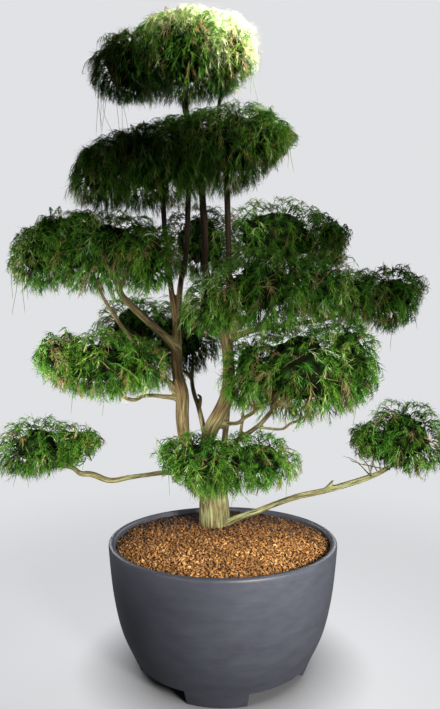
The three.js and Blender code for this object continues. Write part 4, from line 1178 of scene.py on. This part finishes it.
@dataclass
class FoliagePad:
    """One pad: uneven hearts, with hanging shoots all round them in clumps.

    Depths and the core are shares of a heart's half sizes. Tones run from 0, dark, to 1, fresh, and also carry
    painted shade deep in the pad and painted light on its lamp's side. dead_clumps holds the gain, the start and
    the least value of the pattern that dried shoots follow.
    """

    name: str
    habit: ShootHabit
    sprays: int
    seed: int
    painted_light: float = 0.0
    core: float = 0.58
    core_uneven: float = 0.12
    core_lumps: float = 4.5
    core_spikes: float = 0.2
    core_grid: tuple[int, int] = (32, 18)
    core_shade_tones: tuple[float, float] = (-0.35, 0.42)
    core_gap: float = 55 * MM
    root_depth: tuple[float, float] = (0.59, 1.04)
    root_crowding: float = 0.7
    root_scatter: float = 0.03
    clump: float = 105 * MM
    wide_clump: float = 1.3
    clump_depth: float = 0.07
    clump_vigour: float = 0.28
    clump_parting: float = 0.6
    usual_lobe: float = 260 * MM
    lobe_vigour: tuple[float, float] = (0.8, 1.05)
    wood_gap: float = 3 * MM
    prune_gap: float = 18 * MM
    side_prune_gap: float = 7.2 * MM
    prune_uneven: float = 25 * MM
    prune_lumps: float = 36 * MM
    least_tone: float = 0.12
    clump_tone: float = 0.3
    chance_tone: float = 0.28
    inner_shade: float = 0.3
    side_tone: tuple[float, float] = (-0.08, 0.1)
    side_age: float = 0.4
    painted_light_side: tuple[float, float, float] = (0.45, -0.1, 0.9)
    painted_light_from: float = 0.35
    dead_inside: float = 0.2
    dead_outside: float = 0.015
    dead_clumps: tuple[float, float, float] = (3.0, 0.35, 0.6)
    dead_in_patch: float = 0.42
    dry_twigs: DryTwigs = DryTwigs()
    trails: TrailingThreads = TrailingThreads()
    lobes: list[Lobe] = field(default_factory=list)

    def __post_init__(self) -> None:
        """Makes the lobes from the table."""
        rows = np.array(PADS[self.name], float) * MM
        self.lobes = [Lobe(row[:3], row[3:]) for row in rows]

    def clumps(self, points: np.ndarray, pattern: Pattern, width: float = 1.0) -> np.ndarray:
        """Noise from 0 to 1 in cells as wide as a clump, or a factor wider."""
        return lattice_noise(points / (width * self.clump), self.seed + pattern)

    def fluff(self, points: np.ndarray, heights: np.ndarray) -> None:
        """Raises points of the upper half and moves those of the lower half, by their height from -1 to 1."""
        loft, sole = (amount * MM for amount in FLUFF.get(self.name, (0, 0)))
        points[:, 2] += np.where(heights > 0, loft, sole) * np.abs(heights)

    def heart(self, lobe: Lobe, rng: np.random.Generator) -> Surface:
        """The core of a lobe, dark as painted shade for the pad's shaded inside: an ellipsoid over a grid of turns
        and heights.

        Its radius swells by a noise over the direction, and at each corner by a random spike.

        Args:
            lobe: The lobe.
            rng: The pad's random stream.

        Returns:
            The core's surface.
        """
        around, high = self.core_grid
        turn = np.arange(around) * FULL_TURN / around
        rise = (np.arange(high) + 0.5) / high * math.pi - math.pi / 2
        ring = np.stack([np.cos(rise)[:, None] * np.cos(turn), np.cos(rise)[:, None] * np.sin(turn),
                         np.repeat(np.sin(rise)[:, None], around, axis=1)], axis=-1)
        surface = ring_grid(ring)
        noise = lattice_noise(surface.points * self.core_lumps + self.seed, self.seed)
        swell = 1 + self.core_uneven * (2 * noise - 1)
        swell += rng.uniform(-1, 1, len(swell)) * self.core_spikes
        heights = surface.points[:, 2].copy()
        surface.points = lobe.centre + surface.points * swell[:, None] * lobe.heart * self.core
        self.fluff(surface.points, heights)
        self.prune(surface.points[:, None], rng, self.core_gap, 0.0)
        # Painted shade: the core's dark tones stand for the shaded inside of the pad.
        return surface.with_values(age=0.0, tone=rng.uniform(*self.core_shade_tones, len(swell)), dead=0.0)

    def roots(self, lobe: Lobe, count: int, rng: np.random.Generator
              ) -> tuple[np.ndarray, np.ndarray, np.ndarray, np.ndarray]:
        """Even places round a lobe's heart by the golden angle, at varied depths, raised and sunk by clumps.

        Args:
            lobe: The lobe.
            count: How many.
            rng: The pad's random stream.

        Returns:
            The places, the directions out, the depths, and the factor on the shoots' length.
        """
        height = 1 - (2 * (np.arange(count) + rng.uniform(-0.5, 0.5, count)) + 1) / count
        turn = GOLDEN_ANGLE * np.arange(count) + rng.normal(0, self.root_scatter, count)
        direction = even_directions(height, turn)
        rise = 2 * self.clumps(lobe.centre + direction * lobe.heart, Pattern.DEPTH) - 1
        low, high = self.root_depth
        depth = low + (high - low) * rng.uniform(0, 1, count) ** self.root_crowding
        vigour = np.clip(lobe.half[0] / self.usual_lobe, *self.lobe_vigour) * (1 + self.clump_vigour * rise)
        place = lobe.centre + direction * lobe.heart * (depth + self.clump_depth * rise)[:, None]
        self.fluff(place, height)
        return place, unit(direction / lobe.half), depth, vigour

    def prune(self, routes: np.ndarray, rng: np.random.Generator, gap: float, uneven: float) -> None:
        """Moves threads back inside the pad's clipped edges.

        Each station is laid on the pad's middle plane along the ray from the eye. A thread moves by how far its
        farthest station lies past the edge's line there, divided by the ray's scale.

        Args:
            routes: Stations of the threads, (n, k, 3), changed in place.
            rng: The pad's random stream.
            gap: How far inside the edge they stop.
            uneven: The spread of that gap.
        """
        eye = np.array(EYE)
        scale = (self.lobes[0].centre[1] - eye[1]) / (routes[..., 1] - eye[1])
        lumps = self.prune_lumps * (2 * self.clumps(routes[:, 0], Pattern.PRUNING) - 1)
        for edge in np.array(PRUNED.get(self.name, []), float).reshape(-1, 2, 2) * MM:
            along = unit(edge[1] - edge[0])
            outward = np.array([-along[1], 0, along[0]])
            seen = eye + (routes - eye) * scale[..., None]
            beyond = (((seen - (edge[0, 0], 0, edge[0, 1])) @ outward + gap) / scale).max(axis=1)
            beyond += lumps + rng.normal(0, uneven, len(routes))
            routes -= np.maximum(beyond, 0)[:, None, None] * outward

    def grow(self, wood: Wood, others: list[Lobe], rng: np.random.Generator
             ) -> tuple[np.ndarray, np.ndarray, np.ndarray]:
        """Lays the main threads that find open air, each lobe's number of them by its skin.

        Args:
            wood: What they stay clear of.
            others: The lobes of the other pads, which they don't enter.
            rng: The pad's random stream.

        Returns:
            Their stations, the level direction across each, and how deep each is rooted, from 0 to 1.
        """
        skins = np.array([lobe.skin for lobe in self.lobes])
        found = []
        for lobe, count in zip(self.lobes, (skins / skins.sum() * self.sprays).astype(int)):
            grown = self.roots(lobe, count, rng)
            open_air = np.ones(count, bool)
            for sister in self.lobes:
                if sister is not lobe:
                    open_air &= sister.depth(grown[0]) > self.core
            found.append([part[open_air] for part in grown])
        roots, normals, depth, vigour = (np.concatenate(parts) for parts in zip(*found))
        parting = self.clump_parting * (2 * self.clumps(roots, Pattern.PARTING, self.wide_clump) - 1)
        mains, across = self.habit.routes(roots, normals, vigour, parting, rng)
        self.prune(mains, rng, self.prune_gap, self.prune_uneven)
        low, high = np.array(REACH, float) * MM
        mains -= (np.maximum(mains.max(axis=1) - high, 0) - np.maximum(low - mains.min(axis=1), 0))[:, None]
        off_wood = (wood.clearance(mains.reshape(-1, 3)) > self.wood_gap).reshape(mains.shape[:2])
        clear = off_wood[:, 1:].all(axis=1)
        for lobe in others:
            clear &= (lobe.depth(mains) > 1).all(axis=1)
        shallow, deep = self.root_depth[1], self.root_depth[0]
        return mains[clear], across[clear], (shallow - depth[clear]) / (shallow - deep)

    def tones(self, roots: np.ndarray, inner: np.ndarray, rng: np.random.Generator) -> np.ndarray:
        """How bright each shoot is: by clump and by chance, darker inside as painted shade, and lighter on the side
        its lamp lights as painted light.

        Args:
            roots: Where the shoots are rooted, (n, 3).
            inner: How deep, from 0 to 1.
            rng: The pad's random stream.

        Returns:
            n tones.
        """
        # Painted shade: shoots rooted deep are darker.
        tone = (self.least_tone + self.clump_tone * self.clumps(roots, Pattern.TONE)
                + rng.uniform(0.0, self.chance_tone, len(roots)) - self.inner_shade * inner)
        # Painted light: shoots on the lamp's side of the first lobe are lighter, by the pad's share of it.
        middle = self.lobes[0]
        lit_share = (roots - middle.centre) / middle.half @ np.array(self.painted_light_side)
        return tone + self.painted_light * np.clip(self.painted_light_from + lit_share, 0, 1)

    def dried(self, mains: np.ndarray, inner: np.ndarray, rng: np.random.Generator) -> np.ndarray:
        """Finds the shoots that have dried up, which is likelier inside, in some clumps and near a dry patch.

        Args:
            mains: Stations of the main threads, (n, k, 3).
            inner: How deep they are rooted, from 0 to 1.
            rng: The pad's random stream.

        Returns:
            1 for a dried shoot, 0 for a living one.
        """
        chance = self.dead_outside + (self.dead_inside - self.dead_outside) * inner
        for x, y, z, reach in np.array(DRY.get(self.name, []), float).reshape(-1, 4) * MM:
            away = np.linalg.norm(mains[:, -1] - (x, y, z), axis=1) / reach
            chance = chance + self.dead_in_patch * np.exp(-(away**2))
        gain, start, least = self.dead_clumps
        clump = gain * np.maximum(0, self.clumps(mains[:, 0], Pattern.DRYING, self.wide_clump) - start)
        return (rng.uniform(size=len(mains)) < chance * np.maximum(clump, least)).astype(float)

    def shoots(self, wood: Wood, others: list[Lobe], rng: np.random.Generator) -> list[Surface]:
        """All shoots of the pad.

        Args:
            wood: What they stay clear of.
            others: The lobes of the other pads, which they don't enter.
            rng: The pad's random stream.

        Returns:
            The main threads and their side threads.
        """
        habit = self.habit
        mains, across, inner = self.grow(wood, others, rng)
        amount, stations = mains.shape[:2]
        tone = self.tones(mains[:, 0], inner, rng)
        dead = self.dried(mains, inner, rng)
        thicker = 1 + (habit.inner_radius / habit.radius - 1) * inner
        taper = np.linspace(habit.radius, habit.tip_radius, stations)
        main = threads(mains, thicker[:, None] * taper, across).with_values(
            age=share_along(amount, stations), tone=along_threads(tone, stations),
            dead=along_threads(dead, stations))
        routes, side_across, share = habit.side_routes(mains, across, rng)
        self.prune(routes[:, 1:], rng, self.side_prune_gap, self.prune_uneven)
        free = wood.clearance(routes[:, 1]) > self.wood_gap
        parent = np.repeat(np.arange(amount), habit.side_threads)[free]
        routes, side_across, share = routes[free], side_across[free], share[free]
        side_tone = tone[parent] + rng.uniform(*self.side_tone, len(routes))
        age = along_threads(share, 2) * (1 - self.side_age) + self.side_age * share_along(len(routes), 2)
        radii = np.stack([habit.side_radius * thicker[parent], np.zeros(len(routes))], axis=1)
        side = threads(routes, radii, side_across).with_values(
            age=age, tone=along_threads(side_tone, 2), dead=along_threads(dead[parent], 2))
        return [main, side]

    def tangle(self, rng: np.random.Generator) -> Surface:
        """The dry twigs of all lobes, kept inside the clipped edges as the cores are."""
        routes = np.concatenate([self.dry_twigs.routes(lobe, rng) for lobe in self.lobes])
        self.prune(routes, rng, self.core_gap, self.prune_uneven)
        return self.dry_twigs.surface(routes, rng)

    def build(self, wood: Wood, others: list[Lobe], finish: bpy.types.Material) -> bpy.types.Object:
        """Makes the pad's mesh from its hearts and shoots.

        Args:
            wood: What the shoots stay clear of.
            others: The lobes of the other pads.
            finish: The foliage material.

        Returns:
            The piece.
        """
        rng = np.random.default_rng(self.seed)
        parts = [self.heart(lobe, rng) for lobe in self.lobes] + self.shoots(wood, others, rng)
        parts.append(self.tangle(rng))
        if self.name in TRAILING:
            parts.append(self.trails.surface(np.array(TRAILING[self.name], float) * MM, rng))
        return new_object(f"{self.name}_shoots", joined(parts), finish, True)


# Planter and its fill

def polar(radius: np.ndarray, angle: np.ndarray, height: np.ndarray) -> np.ndarray:
    """Points in metres from polar coordinates in mm, which are broadcast to one shape."""
    return np.stack(np.broadcast_arrays(radius * np.cos(angle), radius * np.sin(angle), height), -1) * MM


@dataclass
class Planter:
    """The round tub on four feet, turned from its profile; sizes in mm."""

    outline: tuple[tuple[float, float], ...] = (
        (451, 0), (483, 76), (549, 223), (589, 389), (610, 551), (619, 652))
    lip: tuple[tuple[float, float], ...] = (
        (619.5, 660), (618.5, 667), (614.5, 672), (608, 674), (597, 674), (590.5, 672), (586.5, 667), (584.5, 660))
    inside: tuple[tuple[float, float], ...] = ((583, 652), (575, 551), (547, 370), (500, 215), (440, 121))
    outline_step: float = 22
    inside_step: float = 40
    foot_inner: float = 340
    foot_height: float = 76
    foot_degrees: int = 38
    first_edge: int = -113
    foot_count: int = 4
    foot_rows: int = 4
    drain: float = 22
    column_degrees: int = 2
    soft_edge: float = 4
    soft_edge_segments: int = 3
    soft_edge_degrees: float = 50

    def build(self, finish: bpy.types.Material) -> bpy.types.Object:
        """Turns the profile round the axis.

        Each column of the grid is the profile at one angle. Between the feet the underside runs straight from the
        drain hole to the wall; at a foot the wall goes on down to the floor, with the foot's inner wall, sole and
        two side faces.

        Args:
            finish: The planter's material.

        Returns:
            The piece.
        """
        columns = 360 // self.column_degrees
        turn = np.radians(self.first_edge + self.column_degrees * np.arange(columns))
        wall = smooth_curve(np.array(self.outline, float), self.outline_step, places=2)
        inner = smooth_curve(np.array(self.inside, float), self.inside_step, places=2)
        levels = np.linspace(0, self.foot_height, self.foot_rows + 1)
        foot_radii = np.interp(levels, wall[:, 1], wall[:, 0])
        above = wall[wall[:, 1] > self.foot_height + 1]
        floor = self.inside[-1][1]
        profile = np.array([(self.drain, self.foot_height), (self.foot_inner, self.foot_height),
                            (foot_radii[-1], self.foot_height), *above, *self.lip, *inner, (self.drain, floor)])
        number = np.arange(len(profile) * columns).reshape(-1, columns)
        faces = quads(np.pad(number, (0, 1), mode="wrap")).reshape(-1, columns, 4)
        foot_columns = self.foot_degrees // self.column_degrees
        spacing = columns // self.foot_count
        on_foot = np.arange(columns) % spacing < foot_columns
        blocks = [faces[0], faces[1][~on_foot], faces[2:].reshape(-1, 4)]
        points = [polar(profile[:, :1], turn[None], profile[:, 1:]).reshape(-1, 3)]
        start = len(points[0])
        for foot in range(self.foot_count):
            edges = (foot * spacing + np.arange(foot_columns + 1)) % columns
            grids = []
            for radii, top in ((np.full(len(levels), self.foot_inner), 1), (foot_radii, 2)):
                points.append(polar(radii[:-1, None], turn[edges][None], levels[:-1, None]).reshape(-1, 3))
                rows = start + np.arange(len(points[-1])).reshape(self.foot_rows, -1)
                grids.append(np.concatenate([rows, number[top][edges][None]]))
                start += len(points[-1])
            within, outer = grids
            blocks += [quads(outer), quads(within)[:, ::-1], quads(np.stack([within[0], outer[0]])),
                       quads(np.stack([within[:, 0], outer[:, 0]], axis=1)),
                       quads(np.stack([within[:, -1], outer[:, -1]], axis=1))[:, ::-1]]
        piece = new_object("planter", Surface(np.concatenate(points), blocks), finish, True)
        bevel = piece.modifiers.new("soft_edges", "BEVEL")
        bevel.width = self.soft_edge * MM
        bevel.segments = self.soft_edge_segments
        bevel.limit_method = "ANGLE"
        bevel.angle_limit = math.radians(self.soft_edge_degrees)
        return piece


@dataclass
class Mulch:
    """Loose bark granules over a low dome; sizes in mm. Each lump is (cell, height, seed) of a noise."""

    radius: float = 579
    edge_height: float = 640
    dome: float = 52
    lumps: tuple[tuple[int, int, int], ...] = ((70, 9, 9), (190, 12, 12))
    bottom: float = 602
    bed_grid: tuple[int, int] = (72, 20)
    bed_middle: float = 0.04
    bed_taper: float = 0.995
    bed_shade_tone: float = 0.24
    flakes: int = 8200
    flake_length: tuple[float, float] = (9, 21)
    flake_width: tuple[float, float] = (5, 10)
    flake_height: tuple[float, float] = (3, 7)
    corners_vary: tuple[float, float] = (0.55, 1.15)
    tilt: float = 0.42
    layer: tuple[float, float] = (-2, 11)
    spread_gap: float = 5
    edge_gap: float = 4
    wood_gap: float = 4
    scatter: float = 3
    turn_scatter: float = 0.01
    tone_cell: float = 60
    tone_seed: int = 21
    place_tone: float = 0.3
    chance_tone: float = 0.62
    chance_shape: float = 2.2
    painted_shade_behind: float = 0.42
    painted_shade_from: float = 0.4
    seed: int = 17

    def height(self, x: np.ndarray, y: np.ndarray) -> np.ndarray:
        """The dome's height: highest in the middle, falling with the square of the radius, and gently lumpy."""
        share = np.hypot(x, y) / self.radius
        place = np.stack([x, y, np.zeros_like(x)], axis=-1).reshape(-1, 3)
        lumps = sum((lattice_noise(place / cell, seed) - 0.5) * high for cell, high, seed in self.lumps)
        return self.edge_height + self.dome * (1 - share**2) + lumps.reshape(x.shape)

    def bed(self) -> Surface:
        """The dark bed under the flakes, a closed disc with the dome as its top; its dark tone is painted shade in
        the gaps between flakes.
        """
        sides, rings = self.bed_grid
        turn = np.arange(sides) * FULL_TURN / sides
        shares = np.linspace(1, self.bed_middle, rings)
        x = self.radius * shares[:, None] * np.cos(turn)
        y = self.radius * shares[:, None] * np.sin(turn)
        top = np.stack([x, y, self.height(x, y)], axis=-1)
        base = np.stack([x[0] * self.bed_taper, y[0] * self.bed_taper, np.full(sides, self.bottom)], axis=-1)
        return ring_grid(np.concatenate([base[None], top]) * MM).with_values(tone=self.bed_shade_tone)

    def granules(self, wood: Wood, rng: np.random.Generator) -> Surface:
        """The flakes: six-sided blocks with uneven corners, spread evenly by the golden angle and turned at random.

        Their tone is noise over the place plus a random part of each flake's own, less a share that grows towards
        the back, which is painted shade from the rim, the trunk and the pads.

        Args:
            wood: What they stay clear of.
            rng: The mulch's random stream.

        Returns:
            All flakes as one surface.
        """
        number = np.arange(self.flakes)
        reach = (self.radius - self.spread_gap) * np.sqrt((number + 0.5) / self.flakes)
        turn = GOLDEN_ANGLE * number + rng.normal(0, self.turn_scatter, self.flakes)
        x = reach * np.cos(turn) + rng.normal(0, self.scatter, self.flakes)
        y = reach * np.sin(turn) + rng.normal(0, self.scatter, self.flakes)
        inside = np.minimum(1, (self.radius - self.edge_gap) / np.hypot(x, y))
        x, y = x * inside, y * inside
        z = self.height(x, y) + rng.uniform(*self.layer, self.flakes)
        size = np.stack([rng.uniform(*span, self.flakes)
                         for span in (self.flake_length, self.flake_width, self.flake_height)], axis=1) / 2
        corners = np.array(list(itertools.product((-1, 1), repeat=3)), float)
        block = corners[None] * size[:, None] * rng.uniform(*self.corners_vary, (self.flakes, 8, 3))
        yaw, pitch, roll = rng.uniform(0, FULL_TURN, self.flakes), *rng.normal(0, self.tilt, (2, self.flakes))
        for angle, (first, second) in ((roll, (1, 2)), (pitch, (0, 2)), (yaw, (0, 1))):
            cosine, sine = np.cos(angle)[:, None], np.sin(angle)[:, None]
            a, b = block[..., first].copy(), block[..., second].copy()
            block[..., first], block[..., second] = cosine * a - sine * b, sine * a + cosine * b
        points = (block + np.stack([x, y, z], axis=1)[:, None]) * MM
        points = points[wood.clearance(points.mean(axis=1)) > self.wood_gap * MM]
        sides = np.array([(0, 1, 3, 2), (4, 6, 7, 5), (0, 4, 5, 1), (2, 3, 7, 6), (0, 2, 6, 4), (1, 5, 7, 3)])
        faces = (np.arange(len(points)) * 8)[:, None, None] + sides
        chance = rng.beta(self.chance_shape, self.chance_shape, len(points))
        tone = (self.place_tone * lattice_noise(points[:, 0] / (self.tone_cell * MM), self.tone_seed)
                + self.chance_tone * chance)
        # Painted shade: flakes are darkened towards the back, where the rim, the trunk and the pads shade them.
        behind = np.clip(points[:, 0, 1] / (self.radius * MM) + self.painted_shade_from, 0, 1)
        tone = np.repeat(tone - self.painted_shade_behind * behind, 8)
        return Surface(points.reshape(-1, 3), [faces.reshape(-1, 4)]).with_values(tone=tone)

    def build(self, wood: Wood, finish: bpy.types.Material) -> bpy.types.Object:
        """Makes the mulch from its bed and flakes."""
        rng = np.random.default_rng(self.seed)
        return new_object("mulch_granules", joined([self.bed(), self.granules(wood, rng)]), finish, False)


@dataclass
class InnerTwigs:
    """Bare twigs that run from the branches into the pads."""

    per_lobe: int = 9
    stations: int = 6
    nearest: int = 14
    heights: tuple[float, float] = (-0.75, 0.35)
    depths: tuple[float, float] = (0.72, 0.98)
    turned: tuple[float, float] = (0, 6)
    bow: tuple[float, float] = (-0.03, 0.06)
    wave: float = 7 * MM
    radius: float = 4.6 * MM
    tip_radius: float = 2.0 * MM
    seed: int = 5

    def build(self, wood: Wood, pads: list[FoliagePad], finish: bpy.types.Material) -> bpy.types.Object:
        """Runs twigs from the branch nearest each lobe's middle to places on its heart.

        A twig is the curve that leaves with a rise and bends over to its end, as a parabola between them.

        Args:
            wood: The branches they grow from.
            pads: The pads they run into.
            finish: The bark material.

        Returns:
            The piece.
        """
        rng = np.random.default_rng(self.seed)
        stations = np.concatenate([branch.line for branch in wood.branches])
        s = np.linspace(0, 1, self.stations)[None, :, None]
        routes = []
        for lobe in (lobe for pad in pads for lobe in pad.lobes):
            near = stations[np.argsort(lobe.depth(stations))[:self.nearest]]
            start = near[rng.integers(0, self.nearest, self.per_lobe)]
            turn = GOLDEN_ANGLE * np.arange(self.per_lobe) + rng.uniform(*self.turned)
            way = even_directions(rng.uniform(*self.heights, self.per_lobe), turn)
            end = lobe.centre + way * lobe.heart * rng.uniform(*self.depths, self.per_lobe)[:, None]
            bow = np.array([0, 0, 1.0]) * rng.uniform(*self.bow, self.per_lobe)[:, None, None]
            wave = rng.normal(0, self.wave, (self.per_lobe, self.stations, 3)) * (s > 0)
            routes.append(start[:, None] + (end - start)[:, None] * s + 4 * bow * s * (1 - s) + wave)
        routes = np.concatenate(routes)
        radii = np.tile(np.linspace(self.radius, self.tip_radius, self.stations), (len(routes), 1))
        surface = threads(routes, radii, across_routes(routes)).with_values(limb=1.0)
        surface.values["fibre"] = surface.points.copy()
        return new_object("inner_twigs", surface, finish, True)


# Studio

SKY_COLOUR = "#fbfcff"


@dataclass(frozen=True)
class Lamp:
    """A square soft light.

    Args:
        name: Its name.
        place: Where it hangs, in metres.
        aim: The point it faces.
        side: Its side, in metres.
        power: Its power in watts.
        colour: Its sRGB colour.
        beam: The angle of its beam, in degrees.
    """

    name: str
    place: tuple[float, float, float]
    aim: tuple[float, float, float]
    side: float
    power: float
    colour: str
    beam: float

    def hang(self) -> None:
        """Adds the light to the scene."""
        data = bpy.data.lights.new(self.name, "AREA")
        data.size = self.side
        data.energy = self.power
        data.color = linear(self.colour)[:3]
        data.spread = math.radians(self.beam)
        lamp = bpy.data.objects.new(self.name, data)
        lamp.location = self.place
        lamp.rotation_euler = (Vector(self.aim) - Vector(self.place)).to_track_quat("-Z", "Y").to_euler()
        bpy.context.scene.collection.objects.link(lamp)


@dataclass
class Studio:
    """The camera at the photo's place, a pale floor and soft lights."""

    focal_pixels: float = 575.0
    frame_pixels: tuple[int, int] = (440, 709)
    sensor: float = 36.0
    floor_radius: float = 9.0
    floor_corners: int = 96
    floor_colour: str = "#6e7074"
    floor_glow: float = 0.645
    floor_lights_up: float = 0.2
    floor_fades: tuple[float, float] = (1.3, 4.6)
    contact_shadow_reach: float = 0.35
    contact_shadow_openness: tuple[float, float] = (0.25, 0.95)
    sky_light: float = 0.05
    sky_seen: float = 0.78
    lamps: tuple[Lamp, ...] = (
        Lamp("front_right_box", (1.35, -2.85, 1.55), (0.3, 0.0, 0.8), 0.7, 36, "#fff9f0", 62),
        Lamp("front_left_box", (-1.75, -2.6, 1.15), (-0.62, 0.0, 1.52), 0.5, 18, "#fff9f0", 45),
        Lamp("crown_lamp", (1.05, -1.85, 4.6), (0.06, 0.05, 3.6), 0.5, 22.5, "#fff0ea", 24),
        Lamp("tier_lamp", (1.75, -1.9, 3.95), (0.36, 0.0, 2.93), 0.5, 4.8, "#fff0ea", 22),
        Lamp("back_right_box", (2.3, 3.3, 3.0), (0.2, 0.3, 2.1), 1.8, 26, "#f8faff", 70),
        Lamp("back_left_box", (-2.4, 3.2, 2.7), (-0.2, 0.3, 2.1), 1.8, 22, "#f8faff", 70),
    )

    def camera(self) -> None:
        """A level camera. Its lens is the focal length in pixels over the frame's long side, times the sensor."""
        data = bpy.data.cameras.new("photo_camera")
        data.sensor_width = self.sensor
        data.lens = self.sensor * self.focal_pixels / max(self.frame_pixels)
        camera = bpy.data.objects.new("photo_camera", data)
        camera.location = EYE
        camera.rotation_euler = (math.pi / 2, 0, 0)
        bpy.context.scene.collection.objects.link(camera)
        bpy.context.scene.camera = camera

    def by_viewer(self, tree: bpy.types.NodeTree, lit: float, seen: float) -> bpy.types.NodeSocket:
        """A strength that is one value as light on other things and another as the camera sees it."""
        by_camera = add_node(tree, "ShaderNodeLightPath").outputs["Is Camera Ray"]
        return add_node(tree, "ShaderNodeMapRange", {"Value": by_camera, "To Min": lit, "To Max": seen}).outputs[0]

    def floor(self) -> None:
        """A round pale floor that glows, dimmed beside the planter as a painted contact shadow, and fades into the
        sky's colour far out.
        """
        number = np.arange(self.floor_corners)
        rim = polar(np.array(self.floor_radius / MM), number * FULL_TURN / len(number), np.array(0.0))
        surface = Surface(np.concatenate([rim, [[0, 0, 0]]]), [
            np.stack([number, np.roll(number, -1), np.full(len(number), len(number))], axis=-1)])
        material, tree = new_material("pale_floor")
        # Painted contact shadow: the floor's glow is dimmed where ambient occlusion finds the planter near.
        openness = add_node(tree, "ShaderNodeAmbientOcclusion", {"Distance": self.contact_shadow_reach}).outputs["AO"]
        glow = add_node(tree, "ShaderNodeMapRange", {
            "Value": openness, "From Min": self.contact_shadow_openness[0], "From Max": self.contact_shadow_openness[1],
            "To Max": self.floor_glow})
        share = self.by_viewer(tree, self.floor_lights_up, 1.0)
        strength = add_node(tree, "ShaderNodeMath", {0: glow.outputs[0], 1: share}, {"operation": "MULTIPLY"})
        near = add_node(tree, "ShaderNodeBsdfPrincipled", {
            "Base Color": linear(self.floor_colour), "Roughness": 0.9, "Specular IOR Level": 0.0,
            "Emission Color": linear(SKY_COLOUR), "Emission Strength": strength.outputs[0]})
        sky = self.by_viewer(tree, self.sky_light, self.sky_seen)
        far = add_node(tree, "ShaderNodeEmission", {"Color": linear(SKY_COLOUR), "Strength": sky})
        place = add_node(tree, "ShaderNodeTexCoord").outputs["Object"]
        reach = add_node(tree, "ShaderNodeVectorMath", {0: place}, {"operation": "LENGTH"}).outputs["Value"]
        fade = add_node(tree, "ShaderNodeMapRange", {
            "Value": reach, "From Min": self.floor_fades[0], "From Max": self.floor_fades[1]},
            {"interpolation_type": "SMOOTHSTEP"})
        shader = add_node(tree, "ShaderNodeMixShader", {0: fade.outputs[0], 1: near.outputs[0], 2: far.outputs[0]})
        add_node(tree, "ShaderNodeOutputMaterial", {"Surface": shader.outputs[0]})
        new_object("floor", surface, material, False)

    def lights(self) -> None:
        """Low soft boxes in front, narrow lamps for the two top tiers, wide boxes behind and a weak sky."""
        for lamp in self.lamps:
            lamp.hang()
        world = bpy.data.worlds.new("studio")
        world.use_nodes = True
        tree = world.node_tree
        tree.nodes.clear()
        sky = add_node(tree, "ShaderNodeBackground", {
            "Color": linear(SKY_COLOUR), "Strength": self.by_viewer(tree, self.sky_light, self.sky_seen)})
        add_node(tree, "ShaderNodeOutputWorld", {"Surface": sky.outputs[0]})
        bpy.context.scene.world = world
        bpy.context.scene.view_settings.view_transform = "Standard"


def planned_pads() -> list[FoliagePad]:
    """The pads of the table. All sprays are shared out by the pads' skins, with more to the hanging ones."""
    pads = [FoliagePad(name, HANGING if name in HANGING_PADS else ShootHabit(), 0, seed, LAMP_SIDE_LIGHT.get(name, 0.0))
            for seed, name in enumerate(PADS, start=1)]
    skins = np.array([sum(lobe.skin for lobe in pad.lobes) for pad in pads])
    skins *= np.where([pad.habit is HANGING for pad in pads], HANGING_FULLER, 1.0)
    for pad, share in zip(pads, skins / skins.sum()):
        pad.sprays = int(ALL_SPRAYS * share)
    return pads


def dress(piece: bpy.types.Object, slot: str, *nodes: str) -> None:
    """Ties a piece to the one body and to the nodes it stands for, and reports it."""
    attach(piece, "root")
    if nodes:
        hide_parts(*nodes)
    triangles = sum(len(polygon.vertices) - 2 for polygon in piece.data.polygons)
    LOG.info("%s: %d triangles", piece.name, triangles)


def main() -> None:
    """Builds the scene piece by piece."""
    logging.basicConfig(level=logging.INFO, format="%(message)s")
    studio = Studio()
    studio.camera()
    studio.floor()
    studio.lights()
    clay, bark, granules = FibreClay().material(), ConiferBark().material(), BarkGranules().material()
    shoots = ThreadFoliage().material()
    dress(Planter().build(clay), "pot", "pot")
    wood = Wood()
    dress(Mulch().build(wood, granules), "mulch", "bark_mulch")
    dress(wood.build(bark), "wood", "trunk_and_branches")
    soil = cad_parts["potting_soil"]
    soil.data.materials.clear()
    soil.data.materials.append(DampSoil().material())
    pads = planned_pads()
    for pad in pads:
        others = [lobe for other in pads if other is not pad for lobe in other.lobes]
        dress(pad.build(wood, others, shoots), "foliage", f"foliage_{pad.name}")
    dress(InnerTwigs().build(wood, pads, bark), "wood")
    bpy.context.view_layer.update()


if __name__ == "__main__":
    main()
